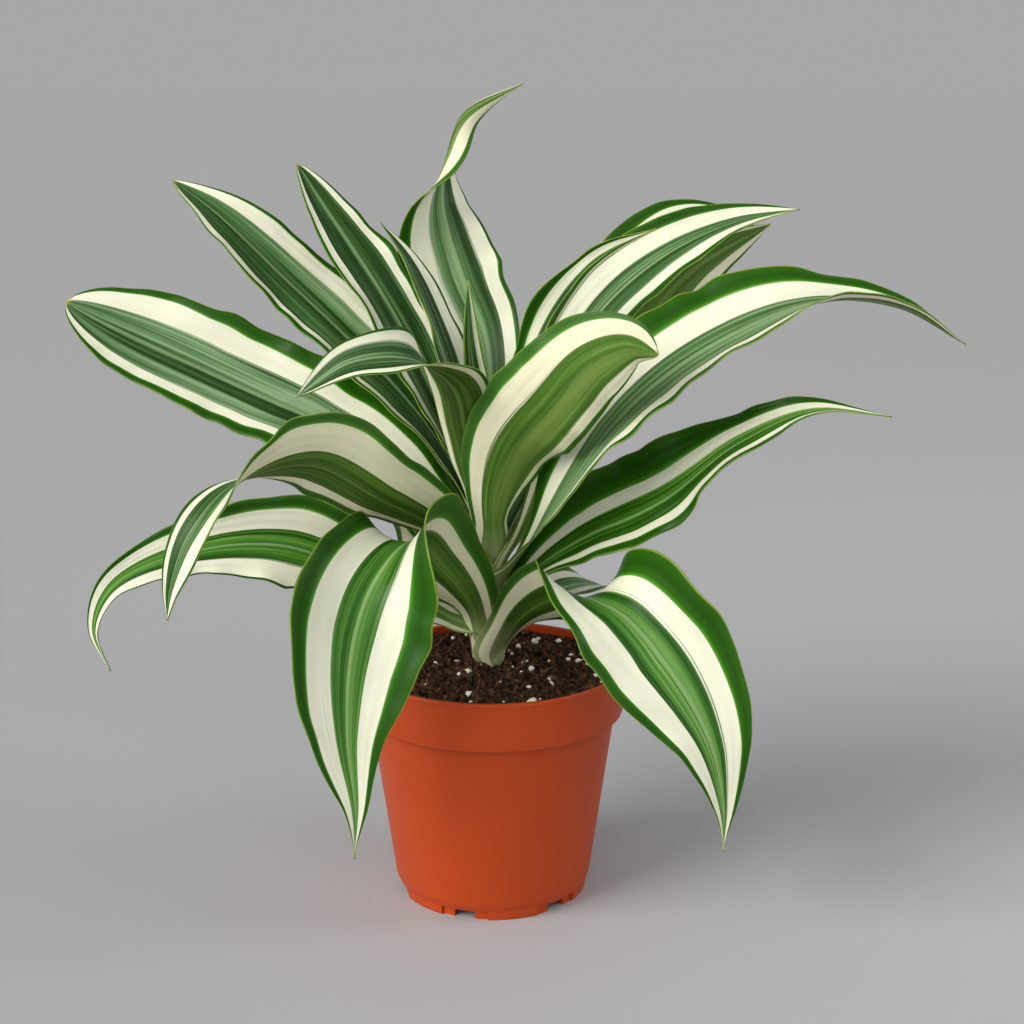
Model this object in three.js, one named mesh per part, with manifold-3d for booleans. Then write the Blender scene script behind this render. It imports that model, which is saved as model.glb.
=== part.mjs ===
// A potted dracaena: a 13 cm plastic nursery pot filled with potting soil, and a rosette of strap
// leaves, striped in life, on one short upright stem. Millimetres, +Z up. The origin is the centre
// of the pot's foot, on the surface that the pot stands on, and -Y is the front.
import * as THREE from 'three';
import { mergeVertices } from 'three/addons/utils/BufferGeometryUtils.js';
import Module from 'manifold-3d';

const wasm = await Module();
wasm.setup();

// ---- Driving dimensions ----------------------------------------------------------------------

const GAP = 0.3; // clearance between a piece and what it stands in

const POT = {
  height: 116,
  rimRadius: 65, // outside, over the lip
  collarRadius: 64, // outside, at the lower edge of the collar
  collarHeight: 24,
  bodyTopRadius: 60.3, // outside, just under the collar
  bodyFootRadius: 48, // outside, just above the foot ring
  footRadius: 46.6,
  footHeight: 5,
  footInnerRadius: 43,
  wall: 1.8,
  floor: 2.2,
  edge: 1.2, // rounding of the lip and of the collar's lower edge
  lipHeight: 2.6, // the band at the rim that stands out from the collar
  lipStep: 0.2, // by this much
  footEdge: 0.6, // rounding of the foot ring's outer edge
  segments: 48,
};

const DRAIN = {
  count: 6,
  firstAzimuth: 253, // degrees round the foot from +X
  recessAngle: 29, // degrees of the foot ring that are set back at each drain
  recessRadius: 45.2,
  slotAngle: 13, // degrees that are cut right through
  slotInnerRadius: 37,
  slotHeight: 4.4,
  recessTop: 4.6,
  clearance: 5, // how far the cutters reach past the foot ring
};

const SOIL = {
  edgeHeight: 112,
  mound: 3.2, // rise of the surface at the stem
  moundRadius: 26,
  relief: 0.9, // height of the lumps in the surface
  rings: 9,
  segments: 48,
  crumbs: 40,
  crumbSize: [1.5, 2.9],
  crumbFreeRadius: 13, // no crumbs this near to the stem's axis
  crumbEdge: 4, // nor this near to the pot's wall
  seed: 71,
};

const STEM = {
  x: -2,
  y: 6,
  foot: 100, // bottom of the hole that the stem stands in
  top: 205.5,
  // [height, radius] from the soil up
  taper: [[100, 7.2], [110, 6.8], [125, 6.2], [150, 5.4], [175, 4.8], [195, 3.8], [204, 2.5]],
  firstScar: 112, // old leaf scars, as fine grooves round the stem
  lastScar: 200,
  scarSpacing: 11,
  scarDepth: 0.25,
  scarHalfWidth: 0.7,
  shoulder: 204, // where the top starts to round off
  segments: 16,
};

const BLADE = {
  thickness: 0.7,
  seat: 0.6, // from the stem's side to the underside of a leaf's foot
  rows: 18,
  columns: 4,
  samples: 90, // steps along the midrib, a multiple of the rows
  tipHalfWidth: 0.4,
  rimCalm: 12, // half width in mm below which the margin's ripple dies away
};

// Defaults of a leaf: mean rise of each half of the blade from foot to tip in degrees, the ripple
// of its margins as [height, wavelength, phase], how full and how pointed its end is, its width at
// the foot as a share of the widest, and how late it broadens above the foot.
const CUP = [20, 15, 10, 10, 20];
const WAVE = [1.5, 60, 0];
const TIP = [1.7, 1];
const FOOT_SHARE = 0.16;
const GROWTH = 1.2;
const FLAT = [0, 0, 0, 0, 0];
const EDGE_PHASE = 1.9; // the two margins don't ripple in step

// The leaves, from the lowest up. azimuth and height say where the foot meets the stem, width is
// the greatest width and widest its place along the leaf. midrib is the rib's way through space
// after the foot, and roll turns the blade about the rib, in degrees at even steps along it.
const LEAVES = [
  {
    name: 'leaf_low_front_left',
    azimuth: 243,
    height: 127,
    width: 68,
    widest: 0.57,
    midrib: [
      [-9, -12, 148], [-20, -29, 170], [-36, -50, 189], [-51, -70, 175],
      [-60, -84, 148], [-63, -92, 111], [-60, -95, 77], [-61, -93, 53],
    ],
    roll: [0, -45, -62, -15, 30, 46, 48, 48, 50],
    cupLeft: [20, 25, 15, 30, 10, 12, 12, 15, 20],
    cupRight: [20, 25, 20, 45, 32, 28, 20, 15, 20],
    tip: [1.4, 1.55],
    growth: 0.85,
  },
  {
    name: 'leaf_low_front_right',
    azimuth: 322,
    height: 119,
    width: 63,
    widest: 0.55,
    midrib: [
      [13, -9, 138], [27, -25, 152], [44, -45, 161], [61, -61, 159],
      [82, -74, 138], [99, -80, 107], [106, -77, 72], [107, -72, 47],
    ],
    roll: [0, 45, 60, 2, -34, -40, -42, -44, -48],
    cupLeft: [20, 20, 20, 38, 28, 14, 8, 12, 20],
    cupRight: [20, 20, 15, 10, 8, 8, 8, 15, 20],
    wave: [1.5, 60, 1],
    tip: [1.4, 1.5],
    base: 0.22,
    growth: 0.85,
  },
  {
    name: 'leaf_low_left',
    azimuth: 168,
    height: 129,
    width: 46,
    widest: 0.42,
    midrib: [
      [-22, 4, 138], [-50, -4, 157], [-96, -12, 180], [-144, -16, 177],
      [-180, -20, 160], [-190, -20, 138], [-183, -20, 117],
    ],
    roll: [0, 45, 58, 62, 62, 60, 55, 45, 30],
    cup: [20, 15, 8, 8, 10],
    tip: [1, 1.15],
  },
  {
    name: 'leaf_low_right',
    azimuth: 340,
    height: 137,
    width: 49,
    widest: 0.4,
    midrib: [
      [17, -3, 162], [40, -4, 182], [79, -18, 206],
      [113, -33, 234], [145, -40, 248], [181, -42, 245],
    ],
    roll: [0, -40, -58, -62, -60, -56, -45, -35, -20],
    cup: [20, 18, 10, 12, 20],
    wave: [4, 62, 0],
    tip: [1.15, 1.15],
  },
  {
    name: 'leaf_left_arching',
    azimuth: 228,
    height: 156,
    width: 46,
    widest: 0.5,
    midrib: [
      [-19, -13, 184], [-49, -36, 209], [-78, -54, 229], [-108, -68, 222],
      [-130, -75, 198], [-140, -78, 175], [-143, -78, 160],
    ],
    roll: [-5, -35, -48, -52, -50, -30, 20, 50, 60],
  },
  {
    name: 'leaf_right_long',
    azimuth: 318,
    height: 150,
    width: 60,
    widest: 0.6,
    midrib: [
      [20, -9, 181], [33, -20, 207], [60, -29, 249], [95, -30, 277],
      [140, -27, 295], [185, -20, 292], [219, -16, 274],
    ],
    roll: [0, -45, -65, -70, -68, -60, -50, -45, -40],
    cup: [20, 20, 15, 20, 40],
    wave: [1.8, 70, 0],
    tip: [1.6, 1.3],
    base: 0.15,
  },
  {
    name: 'leaf_left_broad',
    azimuth: 180,
    height: 163,
    width: 58,
    widest: 0.55,
    midrib: [
      [-24, 8, 190], [-45, 13, 211], [-72, 23, 227],
      [-123, 42, 248], [-170, 56, 266], [-215, 66, 284],
    ],
    roll: [5, 40, 56, 60, 62, 64, 64, 62, 60],
    cupLeft: [20, 15, 8, 8, 10],
    cupRight: [20, 2, 2, 6, 10],
    tip: [3.6, 0.66],
    base: 0.13,
  },
  {
    name: 'leaf_right_back',
    azimuth: 18,
    height: 159,
    width: 48,
    widest: 0.5,
    midrib: [[20, 9, 184], [36, 17, 211], [54, 28, 240], [78, 43, 273], [103, 54, 301], [138, 62, 323]],
    roll: [0, 50, 72, 78, 80, 80, 80, 76, 68],
    cup: [20, 20, 10, 10, 15],
    wave: [1.8, 60, 0],
    tip: [2.2, 0.9],
  },
  {
    name: 'leaf_centre_recurved',
    azimuth: 282,
    height: 169,
    width: 50,
    widest: 0.48,
    midrib: [[0, -11, 200], [7, -26, 226], [24, -47, 252], [43, -62, 274], [59, -73, 282], [72, -80, 279]],
    roll: [0, 10, 20, 25, 30, 35, 40, 40, 40],
    cup: [20, 25, 15, 15, 25],
    tip: [2.9, 0.72],
  },
  {
    name: 'leaf_left_upper',
    azimuth: 160,
    height: 181,
    width: 42,
    widest: 0.5,
    midrib: [
      [-20, 19, 212], [-40, 31, 240], [-73, 50, 272],
      [-106, 63, 301], [-139, 74, 329], [-162, 84, 343],
    ],
    roll: [0, 28, 42, 44, 44, 44, 44, 42, 40],
    cupLeft: [20, 20, 15, 12, 15],
    cupRight: [20, 10, 5, 8, 12],
    tip: [2.6, 0.8],
  },
  {
    name: 'leaf_right_upper',
    azimuth: 20,
    height: 187,
    width: 42,
    widest: 0.55,
    midrib: [[15, 10, 221], [27, 18, 250], [53, 35, 286], [85, 46, 311], [118, 51, 325], [151, 52, 331]],
    roll: [0, -25, -42, -46, -46, -45, -42, -38, -30],
    cup: [20, 20, 15, 15, 30],
  },
  {
    name: 'leaf_back_right_arching',
    azimuth: 42,
    height: 178,
    width: 37,
    widest: 0.5,
    midrib: [[19, 24, 216], [35, 47, 261], [59, 68, 297], [91, 80, 325], [116, 90, 327], [138, 96, 317]],
    roll: [0, -10, -10, -10, 0],
    cup: [20, 20, 15, 15, 20],
  },
  {
    name: 'leaf_small_recurved',
    azimuth: 250,
    height: 183,
    width: 35,
    widest: 0.45,
    midrib: [
      [-9, -4, 206], [-13, -11, 231], [-19, -24, 256],
      [-36, -40, 271], [-62, -49, 271], [-86, -53, 256],
    ],
    roll: [0, -10, -12, -8, 10, 45, 75, 85, 88],
    cup: [20, 35, 25, 20, 20],
    wave: [1, 50, 0],
    tip: [2, 0.9],
  },
  {
    name: 'leaf_left_steep',
    azimuth: 168,
    height: 189,
    width: 35,
    widest: 0.5,
    midrib: [
      [-16, 12, 216], [-28, 20, 243], [-46, 35, 278],
      [-65, 48, 307], [-84, 60, 333], [-97, 68, 352],
    ],
    roll: [0, 28, 42, 44, 44, 44, 44, 44, 44],
    cup: [20, 20, 15, 12, 15],
    tip: [2.8, 0.75],
  },
  {
    name: 'leaf_inner_left',
    azimuth: 185,
    height: 195,
    width: 26,
    widest: 0.5,
    midrib: [[-11, 8, 222], [-18, 13, 250], [-28, 17, 280], [-41, 20, 310], [-53, 22, 327]],
    roll: [0, 20, 40, 40, 40],
    cup: [20, 30, 25, 25, 30],
    wave: [1, 50, 0],
  },
  {
    name: 'leaf_top',
    azimuth: 92,
    height: 199,
    width: 54,
    widest: 0.5,
    midrib: [
      [-4, 40, 235], [-8, 55, 265], [-22, 62, 299], [-28, 61, 331],
      [-22, 61, 357], [-14, 60, 374], [15, 56, 391],
    ],
    roll: [0, 5, 14, 12, 8, -14, -80, -145, -175],
    cupLeft: [20, 20, 8, 4, 4, 10, 30, 45, 45],
    cupRight: [20, 25, 12, 12, 12, 15, 30, 50, 50],
    tip: [1.1, 1.1],
    base: 0.1,
  },
  {
    name: 'leaf_inner_right',
    azimuth: 345,
    height: 196,
    width: 27,
    widest: 0.55,
    midrib: [[11, 3, 225], [16, -1, 250], [27, -1, 279], [48, -4, 309], [76, -5, 326]],
    roll: [0, -25, -45, -50, -40],
    cup: [20, 45, 45, 50, 60],
    wave: [1, 50, 0],
  },
  {
    name: 'leaf_spear',
    height: 206,
    width: 22,
    widest: 0.45,
    midrib: [[-4, 7, 235], [-9, 7, 268], [-11, 6, 301]],
    cup: [40, 60, 60, 60, 60],
    wave: [0.5, 50, 0],
  },
  {
    name: 'leaf_back_low',
    azimuth: 115,
    height: 130,
    width: 46,
    widest: 0.5,
    midrib: [[-16, 34, 156], [-28, 60, 171], [-36, 86, 159], [-40, 101, 126]],
  },
  {
    name: 'leaf_back_low_left',
    azimuth: 142,
    height: 147,
    width: 44,
    widest: 0.5,
    midrib: [[-30, 29, 174], [-58, 48, 190], [-88, 64, 178], [-104, 74, 150]],
  },
  {
    name: 'leaf_back_low_right',
    azimuth: 42,
    height: 124,
    width: 42,
    widest: 0.5,
    midrib: [[20, 24, 138], [44, 46, 142], [66, 64, 130], [82, 76, 104]],
  },
  {
    name: 'leaf_back_middle',
    azimuth: 85,
    height: 150,
    width: 42,
    widest: 0.5,
    midrib: [[2, 34, 190], [6, 61, 221], [8, 85, 230], [10, 101, 219]],
  },
  {
    name: 'leaf_back_middle_left',
    azimuth: 98,
    height: 171,
    width: 42,
    widest: 0.5,
    midrib: [[-24, 35, 199], [-43, 60, 227], [-60, 83, 233], [-70, 98, 220]],
  },
  {
    name: 'leaf_back_middle_right',
    azimuth: 48,
    height: 168,
    width: 40,
    widest: 0.5,
    midrib: [[24, 34, 212], [38, 62, 243], [50, 84, 254], [60, 100, 246]],
  },
];

// ---- Small helpers ---------------------------------------------------------------------------

const radians = THREE.MathUtils.degToRad;

function seededRandom(seed) {
  let state = seed;
  return () => {
    state = (state + 0x6d2b79f5) | 0;
    let t = Math.imul(state ^ (state >>> 15), 1 | state);
    t = (t + Math.imul(t ^ (t >>> 7), 61 | t)) ^ t;
    return ((t ^ (t >>> 14)) >>> 0) / 4294967296;
  };
}

// Straight interpolation in a list of [x, value] pairs.
function interpolate(pairs, x) {
  if (x <= pairs[0][0]) return pairs[0][1];
  for (let i = 1; i < pairs.length; i += 1) {
    const [x0, v0] = pairs[i - 1];
    const [x1, v1] = pairs[i];
    if (x <= x1) return v0 + ((v1 - v0) * (x - x0)) / (x1 - x0);
  }
  return pairs[pairs.length - 1][1];
}

// A smooth curve through values that stand at even steps from 0 to 1.
function smoothValue(values, share) {
  const last = values.length - 1;
  const at = Math.min(Math.max(share, 0), 1) * last;
  const i = Math.min(Math.floor(at), last - 1);
  const w = at - i;
  const p1 = values[i];
  const p2 = values[i + 1];
  const p0 = i > 0 ? values[i - 1] : 2 * p1 - p2;
  const p3 = i + 2 <= last ? values[i + 2] : 2 * p2 - p1;
  const a = (p2 - p0) / 2;
  const b = (p3 - p1) / 2;
  return p1 + a * w + (3 * (p2 - p1) - 2 * a - b) * w * w + (2 * (p1 - p2) + a + b) * w * w * w;
}

// Welds a geometry's points, drops the triangles that fold to nothing at an axis and turns the
// rest outwards.
function weld(geometry) {
  const bare = geometry.clone();
  bare.deleteAttribute('normal');
  bare.deleteAttribute('uv');
  const merged = mergeVertices(bare, 1e-4);
  const source = merged.index.array;
  const point = merged.attributes.position;
  const kept = [];
  let volume = 0;
  const corner = [new THREE.Vector3(), new THREE.Vector3(), new THREE.Vector3()];
  for (let i = 0; i < source.length; i += 3) {
    const [a, b, c] = [source[i], source[i + 1], source[i + 2]];
    if (a === b || b === c || c === a) continue;
    kept.push(a, b, c);
    corner[0].fromBufferAttribute(point, a);
    corner[1].fromBufferAttribute(point, b);
    corner[2].fromBufferAttribute(point, c);
    volume += corner[0].dot(corner[1].cross(corner[2]));
  }
  if (volume < 0) kept.reverse();
  merged.setIndex(kept);
  return merged;
}

function toSolid(geometry) {
  const welded = weld(geometry);
  return new wasm.Manifold(new wasm.Mesh({
    numProp: 3,
    vertProperties: new Float32Array(welded.attributes.position.array),
    triVerts: new Uint32Array(welded.index.array),
  }));
}

function fromSolid(solid) {
  const mesh = solid.getMesh();
  const geometry = new THREE.BufferGeometry();
  geometry.setAttribute('position', new THREE.BufferAttribute(mesh.vertProperties, 3));
  geometry.setIndex(new THREE.BufferAttribute(mesh.triVerts, 1));
  geometry.computeVertexNormals();
  return geometry;
}

// A turned shape about +Z from [radius, height] pairs.
function turned(profile, segments) {
  const points = profile.map(([radius, height]) => new THREE.Vector2(radius, height));
  return new THREE.LatheGeometry(points, segments).rotateX(Math.PI / 2);
}

// A block between two radii and two heights, centred on an azimuth, with round inner and outer
// faces.
function sector(inner, outer, angle, azimuth, low, high) {
  const start = radians(azimuth - angle / 2);
  const end = radians(azimuth + angle / 2);
  const outline = new THREE.Shape();
  outline.absarc(0, 0, outer, start, end, false);
  outline.absarc(0, 0, inner, end, start, true);
  const block = new THREE.ExtrudeGeometry(outline, {
    depth: high - low,
    bevelEnabled: false,
    curveSegments: 5,
  });
  return block.translate(0, 0, low);
}

// ---- Pot -------------------------------------------------------------------------------------

// Height of the floor's upper face, and the inside radius of the wall at a height.
const FLOOR_TOP = POT.footHeight + POT.floor;
const COLLAR_FOOT = POT.height - POT.collarHeight;

function bodyRadius(height) {
  const share = (height - POT.footHeight) / (COLLAR_FOOT - POT.footHeight);
  return POT.bodyFootRadius + (POT.bodyTopRadius - POT.bodyFootRadius) * share;
}

// The inner face as [radius, height] pairs from the rim down, moved inwards by a clearance.
function innerFace(clearance) {
  const inset = POT.wall + clearance;
  return [
    [POT.rimRadius - inset - 0.3, POT.height - 4],
    [POT.collarRadius - inset + 0.1, COLLAR_FOOT + 3],
    [bodyRadius(COLLAR_FOOT - 1) - inset, COLLAR_FOOT - 1],
    [bodyRadius(FLOOR_TOP + 2.5) - inset, FLOOR_TOP + 2.5 + clearance],
    [bodyRadius(FLOOR_TOP) - inset - 2, FLOOR_TOP + clearance],
  ];
}

function potProfile() {
  const { height, rimRadius, collarRadius, lipHeight, lipStep, edge } = POT;
  const { footRadius, footHeight, footInnerRadius, footEdge } = POT;
  return [
    [0, footHeight],
    [footInnerRadius, footHeight],
    [footInnerRadius + 0.5, 0.5],
    [footInnerRadius + 1, 0],
    [footRadius - footEdge, 0],
    [footRadius, footEdge],
    [footRadius + 0.3, footHeight],
    [POT.bodyFootRadius - 0.4, footHeight + 0.6],
    [bodyRadius(footHeight + 2.4), footHeight + 2.4],
    [POT.bodyTopRadius, COLLAR_FOOT - 0.2],
    [collarRadius - edge, COLLAR_FOOT],
    [collarRadius, COLLAR_FOOT + edge],
    [rimRadius - lipStep, height - lipHeight],
    [rimRadius, height - edge],
    [rimRadius - 0.4 * edge, height - 0.25 * edge],
    [rimRadius - edge, height],
    [rimRadius - 1.6 * edge, height - 0.25 * edge],
    [rimRadius - 1.85 * edge, height - edge],
    ...innerFace(0),
    [0, FLOOR_TOP],
  ];
}

function potGeometry() {
  let pot = toSolid(turned(potProfile(), POT.segments));
  for (let i = 0; i < DRAIN.count; i += 1) {
    const azimuth = DRAIN.firstAzimuth + (360 * i) / DRAIN.count;
    const clear = POT.footRadius + DRAIN.clearance;
    const recess = sector(DRAIN.recessRadius, clear, DRAIN.recessAngle, azimuth, -1, DRAIN.recessTop);
    const slot = sector(POT.footInnerRadius - 3, clear, DRAIN.slotAngle, azimuth, -2, DRAIN.slotHeight);
    const drain = sector(
      DRAIN.slotInnerRadius,
      POT.footInnerRadius - 0.6,
      DRAIN.slotAngle,
      azimuth,
      POT.footHeight - 1,
      FLOOR_TOP + 1,
    );
    pot = pot.subtract(toSolid(recess)).subtract(toSolid(slot)).subtract(toSolid(drain));
  }
  return fromSolid(pot);
}

// ---- Soil ------------------------------------------------------------------------------------

function soilHeight(x, y) {
  const fromStem = Math.hypot(x - STEM.x, y - STEM.y);
  const mound = SOIL.mound * Math.exp(-((fromStem / SOIL.moundRadius) ** 2));
  const coarse = Math.sin(x * 0.31 + 1.3) * Math.cos(y * 0.27 - 0.4);
  const fine = Math.sin(x * 0.83 - y * 0.52) * Math.cos(y * 0.91 + x * 0.24);
  return SOIL.edgeHeight + mound + SOIL.relief * (0.6 * coarse + 0.4 * fine);
}

// The filling: its sides follow the pot's inner face, and its top is a relief of lumps.
function soilBody() {
  const sides = innerFace(GAP);
  const bottom = sides[sides.length - 1][1];
  const topRadius = sides[0][0];
  const top = [];
  for (let i = SOIL.rings; i >= 1; i -= 1) {
    top.push([(topRadius * i) / SOIL.rings, SOIL.edgeHeight]);
  }
  const body = turned(
    [[0, bottom], ...sides.slice(1).reverse(), ...top, [0, SOIL.edgeHeight]],
    SOIL.segments,
  );
  const point = body.attributes.position;
  for (let i = 0; i < point.count; i += 1) {
    const x = point.getX(i);
    const y = point.getY(i);
    const onTop = point.getZ(i) > SOIL.edgeHeight - 0.01;
    if (onTop) point.setZ(i, soilHeight(x, y));
  }
  return toSolid(body);
}

// One crumb or grain, sunk by half into the surface.
function crumb(random) {
  const room = innerFace(GAP)[0][0] - SOIL.crumbEdge;
  let x = 0;
  let y = 0;
  do {
    const reach = room * Math.sqrt(random());
    const angle = 2 * Math.PI * random();
    x = reach * Math.cos(angle);
    y = reach * Math.sin(angle);
  } while (Math.hypot(x - STEM.x, y - STEM.y) < SOIL.crumbFreeRadius);
  const [least, most] = SOIL.crumbSize;
  const size = least + (most - least) * random() ** 2;
  const stone = new THREE.IcosahedronGeometry(size, 0);
  stone.scale(1, 0.75 + 0.3 * random(), 0.7 + 0.2 * random());
  stone.rotateX(random() * 3).rotateZ(random() * 6);
  return stone.translate(x, y, soilHeight(x, y) + 0.1 * size);
}

function soilGeometry() {
  const random = seededRandom(SOIL.seed);
  let soil = soilBody();
  for (let i = 0; i < SOIL.crumbs; i += 1) {
    soil = soil.add(toSolid(crumb(random)));
  }
  const holeRadius = STEM.taper[0][1] + GAP;
  const hole = turned(
    [[0, STEM.foot], [holeRadius, STEM.foot], [holeRadius, POT.height + 20], [0, POT.height + 20]],
    STEM.segments,
  );
  hole.translate(STEM.x, STEM.y, 0);
  return fromSolid(soil.subtract(toSolid(hole)));
}

// ---- Stem ------------------------------------------------------------------------------------

function stemRadius(height) {
  return interpolate(STEM.taper, height);
}

// A slim taper with a fine groove at each old leaf scar and a rounded top.
function stemGeometry() {
  const foot = STEM.foot + GAP;
  const profile = [[0, foot], [stemRadius(foot), foot]];
  for (let height = STEM.firstScar; height < STEM.lastScar; height += STEM.scarSpacing) {
    const radius = stemRadius(height);
    profile.push([radius, height - STEM.scarHalfWidth]);
    profile.push([radius - STEM.scarDepth, height]);
    profile.push([radius, height + STEM.scarHalfWidth]);
  }
  profile.push([stemRadius(STEM.shoulder), STEM.shoulder]);
  profile.push([0.7 * stemRadius(STEM.shoulder), STEM.top - 0.4]);
  profile.push([0, STEM.top]);
  return weld(turned(profile, STEM.segments)).translate(STEM.x, STEM.y, 0);
}

// ---- Leaves ----------------------------------------------------------------------------------

// Where the leaf's foot meets the stem. The innermost leaf, still rolled, stands on its top.
function leafFoot({ azimuth, height }) {
  if (azimuth === undefined) return new THREE.Vector3(STEM.x, STEM.y, height);
  const reach = stemRadius(height) + BLADE.seat + BLADE.thickness / 2;
  const angle = radians(azimuth);
  return new THREE.Vector3(STEM.x + reach * Math.cos(angle), STEM.y + reach * Math.sin(angle), height);
}

// Points at even steps along the midrib, and at each the blade's way across and its way up. The
// upper face looks to the stem at the foot, is carried along the rib unturned, and then rolled.
function bladeFrames(leaf) {
  const foot = leafFoot(leaf);
  const way = [foot, ...leaf.midrib.map((p) => new THREE.Vector3(...p))];
  const rib = new THREE.CatmullRomCurve3(way, false, 'centripetal');
  rib.arcLengthDivisions = 400;
  const path = rib.getSpacedPoints(BLADE.samples);
  const inward = new THREE.Vector3(STEM.x - foot.x, STEM.y - foot.y, 0);
  if (inward.length() < 1) inward.set(0, -1, 0);
  const roll = leaf.roll ?? FLAT;
  return path.map((point, i) => {
    const before = path[Math.max(i - 1, 0)];
    const after = path[Math.min(i + 1, BLADE.samples)];
    const along = after.clone().sub(before).normalize();
    inward.addScaledVector(along, -along.dot(inward)).normalize();
    const side = along.clone().cross(inward);
    const share = i / BLADE.samples;
    const turn = radians(smoothValue(roll, share));
    const across = side.clone().multiplyScalar(Math.cos(turn)).addScaledVector(inward, Math.sin(turn));
    const up = inward.clone().multiplyScalar(Math.cos(turn)).addScaledVector(side, -Math.sin(turn));
    return { point, across, up, share, length: rib.getLength() };
  });
}

// Half the blade's width, as a share of the greatest, from foot (0) to tip (1).
function outlineShare(leaf, share) {
  const foot = leaf.base ?? FOOT_SHARE;
  const [fullness, point] = leaf.tip ?? TIP;
  if (share < leaf.widest) {
    const rise = Math.sin((Math.PI / 2) * (share / leaf.widest)) ** (leaf.growth ?? GROWTH);
    return foot + (1 - foot) * rise;
  }
  const beyond = (share - leaf.widest) / (1 - leaf.widest);
  return (1 - beyond ** fullness) ** point;
}

// One point of the middle of the blade. across runs from -1 at the left margin to 1 at the right.
function bladePoint(leaf, frame, across) {
  const cup = across < 0 ? leaf.cupLeft ?? leaf.cup ?? CUP : leaf.cupRight ?? leaf.cup ?? CUP;
  const rise = radians(smoothValue(cup, frame.share));
  const half = Math.max((leaf.width / 2) * outlineShare(leaf, frame.share), BLADE.tipHalfWidth);
  // Each half rises on an arc that starts at a quarter of the mean rise.
  const first = 0.25 * rise;
  const bend = Math.max(1.5 * rise, 1e-4);
  const angle = first + bend * Math.abs(across);
  const out = (half * (Math.sin(angle) - Math.sin(first))) / bend;
  const lift = (half * (Math.cos(first) - Math.cos(angle))) / bend;
  const [height, wavelength, phase] = leaf.wave ?? WAVE;
  const swing = (2 * Math.PI * frame.share * frame.length) / wavelength + phase;
  const ripple = height * Math.sin(Math.PI * frame.share) * across ** 2
    * Math.sin(swing + (across < 0 ? EDGE_PHASE : 0)) * Math.min(1, half / BLADE.rimCalm);
  return frame.point.clone()
    .addScaledVector(frame.across, Math.sign(across) * out)
    .addScaledVector(frame.up, lift + ripple);
}

// The triangles of the sheet, with diagonals that mirror about the midrib.
function sheetTriangles(rows, columns) {
  const triangles = [];
  for (let i = 0; i < rows; i += 1) {
    for (let j = 0; j < columns; j += 1) {
      const a = i * (columns + 1) + j;
      const b = a + 1;
      const d = a + columns + 1;
      const c = d + 1;
      if (j < columns / 2) triangles.push([a, b, d], [b, c, d]);
      else triangles.push([a, b, c], [a, c, d]);
    }
  }
  return triangles;
}

// The way round the sheet's edge, once.
function sheetRim(rows, columns) {
  const rim = [];
  for (let j = 0; j < columns; j += 1) rim.push(j);
  for (let i = 0; i < rows; i += 1) rim.push(i * (columns + 1) + columns);
  for (let j = columns; j > 0; j -= 1) rim.push(rows * (columns + 1) + j);
  for (let i = rows; i > 0; i -= 1) rim.push(i * (columns + 1));
  return rim;
}

// A blade: one curved sheet, given its thickness to both sides, with its edge closed.
function leafGeometry(leaf) {
  const { rows, columns, samples, thickness } = BLADE;
  const frames = bladeFrames(leaf);
  const middle = [];
  for (let i = 0; i <= rows; i += 1) {
    const frame = frames[(i * samples) / rows];
    for (let j = 0; j <= columns; j += 1) {
      middle.push(bladePoint(leaf, frame, (2 * j) / columns - 1));
    }
  }
  const triangles = sheetTriangles(rows, columns);
  const sheet = new THREE.BufferGeometry().setFromPoints(middle);
  sheet.setIndex(triangles.flat());
  sheet.computeVertexNormals();
  const normal = sheet.attributes.normal;
  const faces = [1, -1].flatMap((face) => middle.map((point, i) => {
    const offset = new THREE.Vector3().fromBufferAttribute(normal, i);
    return point.clone().addScaledVector(offset, (face * thickness) / 2);
  }));
  const under = middle.length;
  const index = [];
  triangles.forEach(([a, b, c]) => index.push(a, b, c, under + c, under + b, under + a));
  const rim = sheetRim(rows, columns);
  rim.forEach((a, i) => {
    const b = rim[(i + 1) % rim.length];
    index.push(b, a, under + a, b, under + a, under + b);
  });
  const blade = new THREE.BufferGeometry().setFromPoints(faces);
  blade.setIndex(index);
  return weld(blade);
}

// ---- The plant -------------------------------------------------------------------------------

const FINISHES = {
  pot: { color: 0xb34f2b, roughness: 0.45, metalness: 0 },
  soil: { color: 0x33241a, roughness: 0.95, metalness: 0 },
  stem: { color: 0x6a8f42, roughness: 0.6, metalness: 0 },
  leaf: { color: 0x3f7a34, roughness: 0.4, metalness: 0 },
};

function piece(name, geometry, finish) {
  geometry.computeVertexNormals();
  const mesh = new THREE.Mesh(geometry, new THREE.MeshStandardMaterial(FINISHES[finish]));
  mesh.name = name;
  return mesh;
}

const plant = new THREE.Group();
plant.name = 'potted_dracaena';
plant.add(piece('pot', potGeometry(), 'pot'));
plant.add(piece('soil', soilGeometry(), 'soil'));
plant.add(piece('stem', stemGeometry(), 'stem'));

const rosette = new THREE.Group();
rosette.name = 'rosette';
LEAVES.forEach((leaf) => rosette.add(piece(leaf.name, leafGeometry(leaf), 'leaf')));
plant.add(rosette);

export default plant;
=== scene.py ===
"""A potted striped dracaena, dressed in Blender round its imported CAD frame.

Strap leaves with cream stripes arch from a short green stem. The stem stands in dark potting mix, in a
satin terracotta-coloured nursery pot. Tables are in millimetres and degrees, and meshes in metres, with
+Z up and -Y towards the viewer. Each piece stands for the CAD node of the same place and form.
"""

import logging
import math
import random
from dataclasses import dataclass
from enum import Enum
from typing import Any, Callable, Mapping, Sequence

import bpy
import numpy as np
from mathutils import Matrix, Vector, noise


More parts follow.
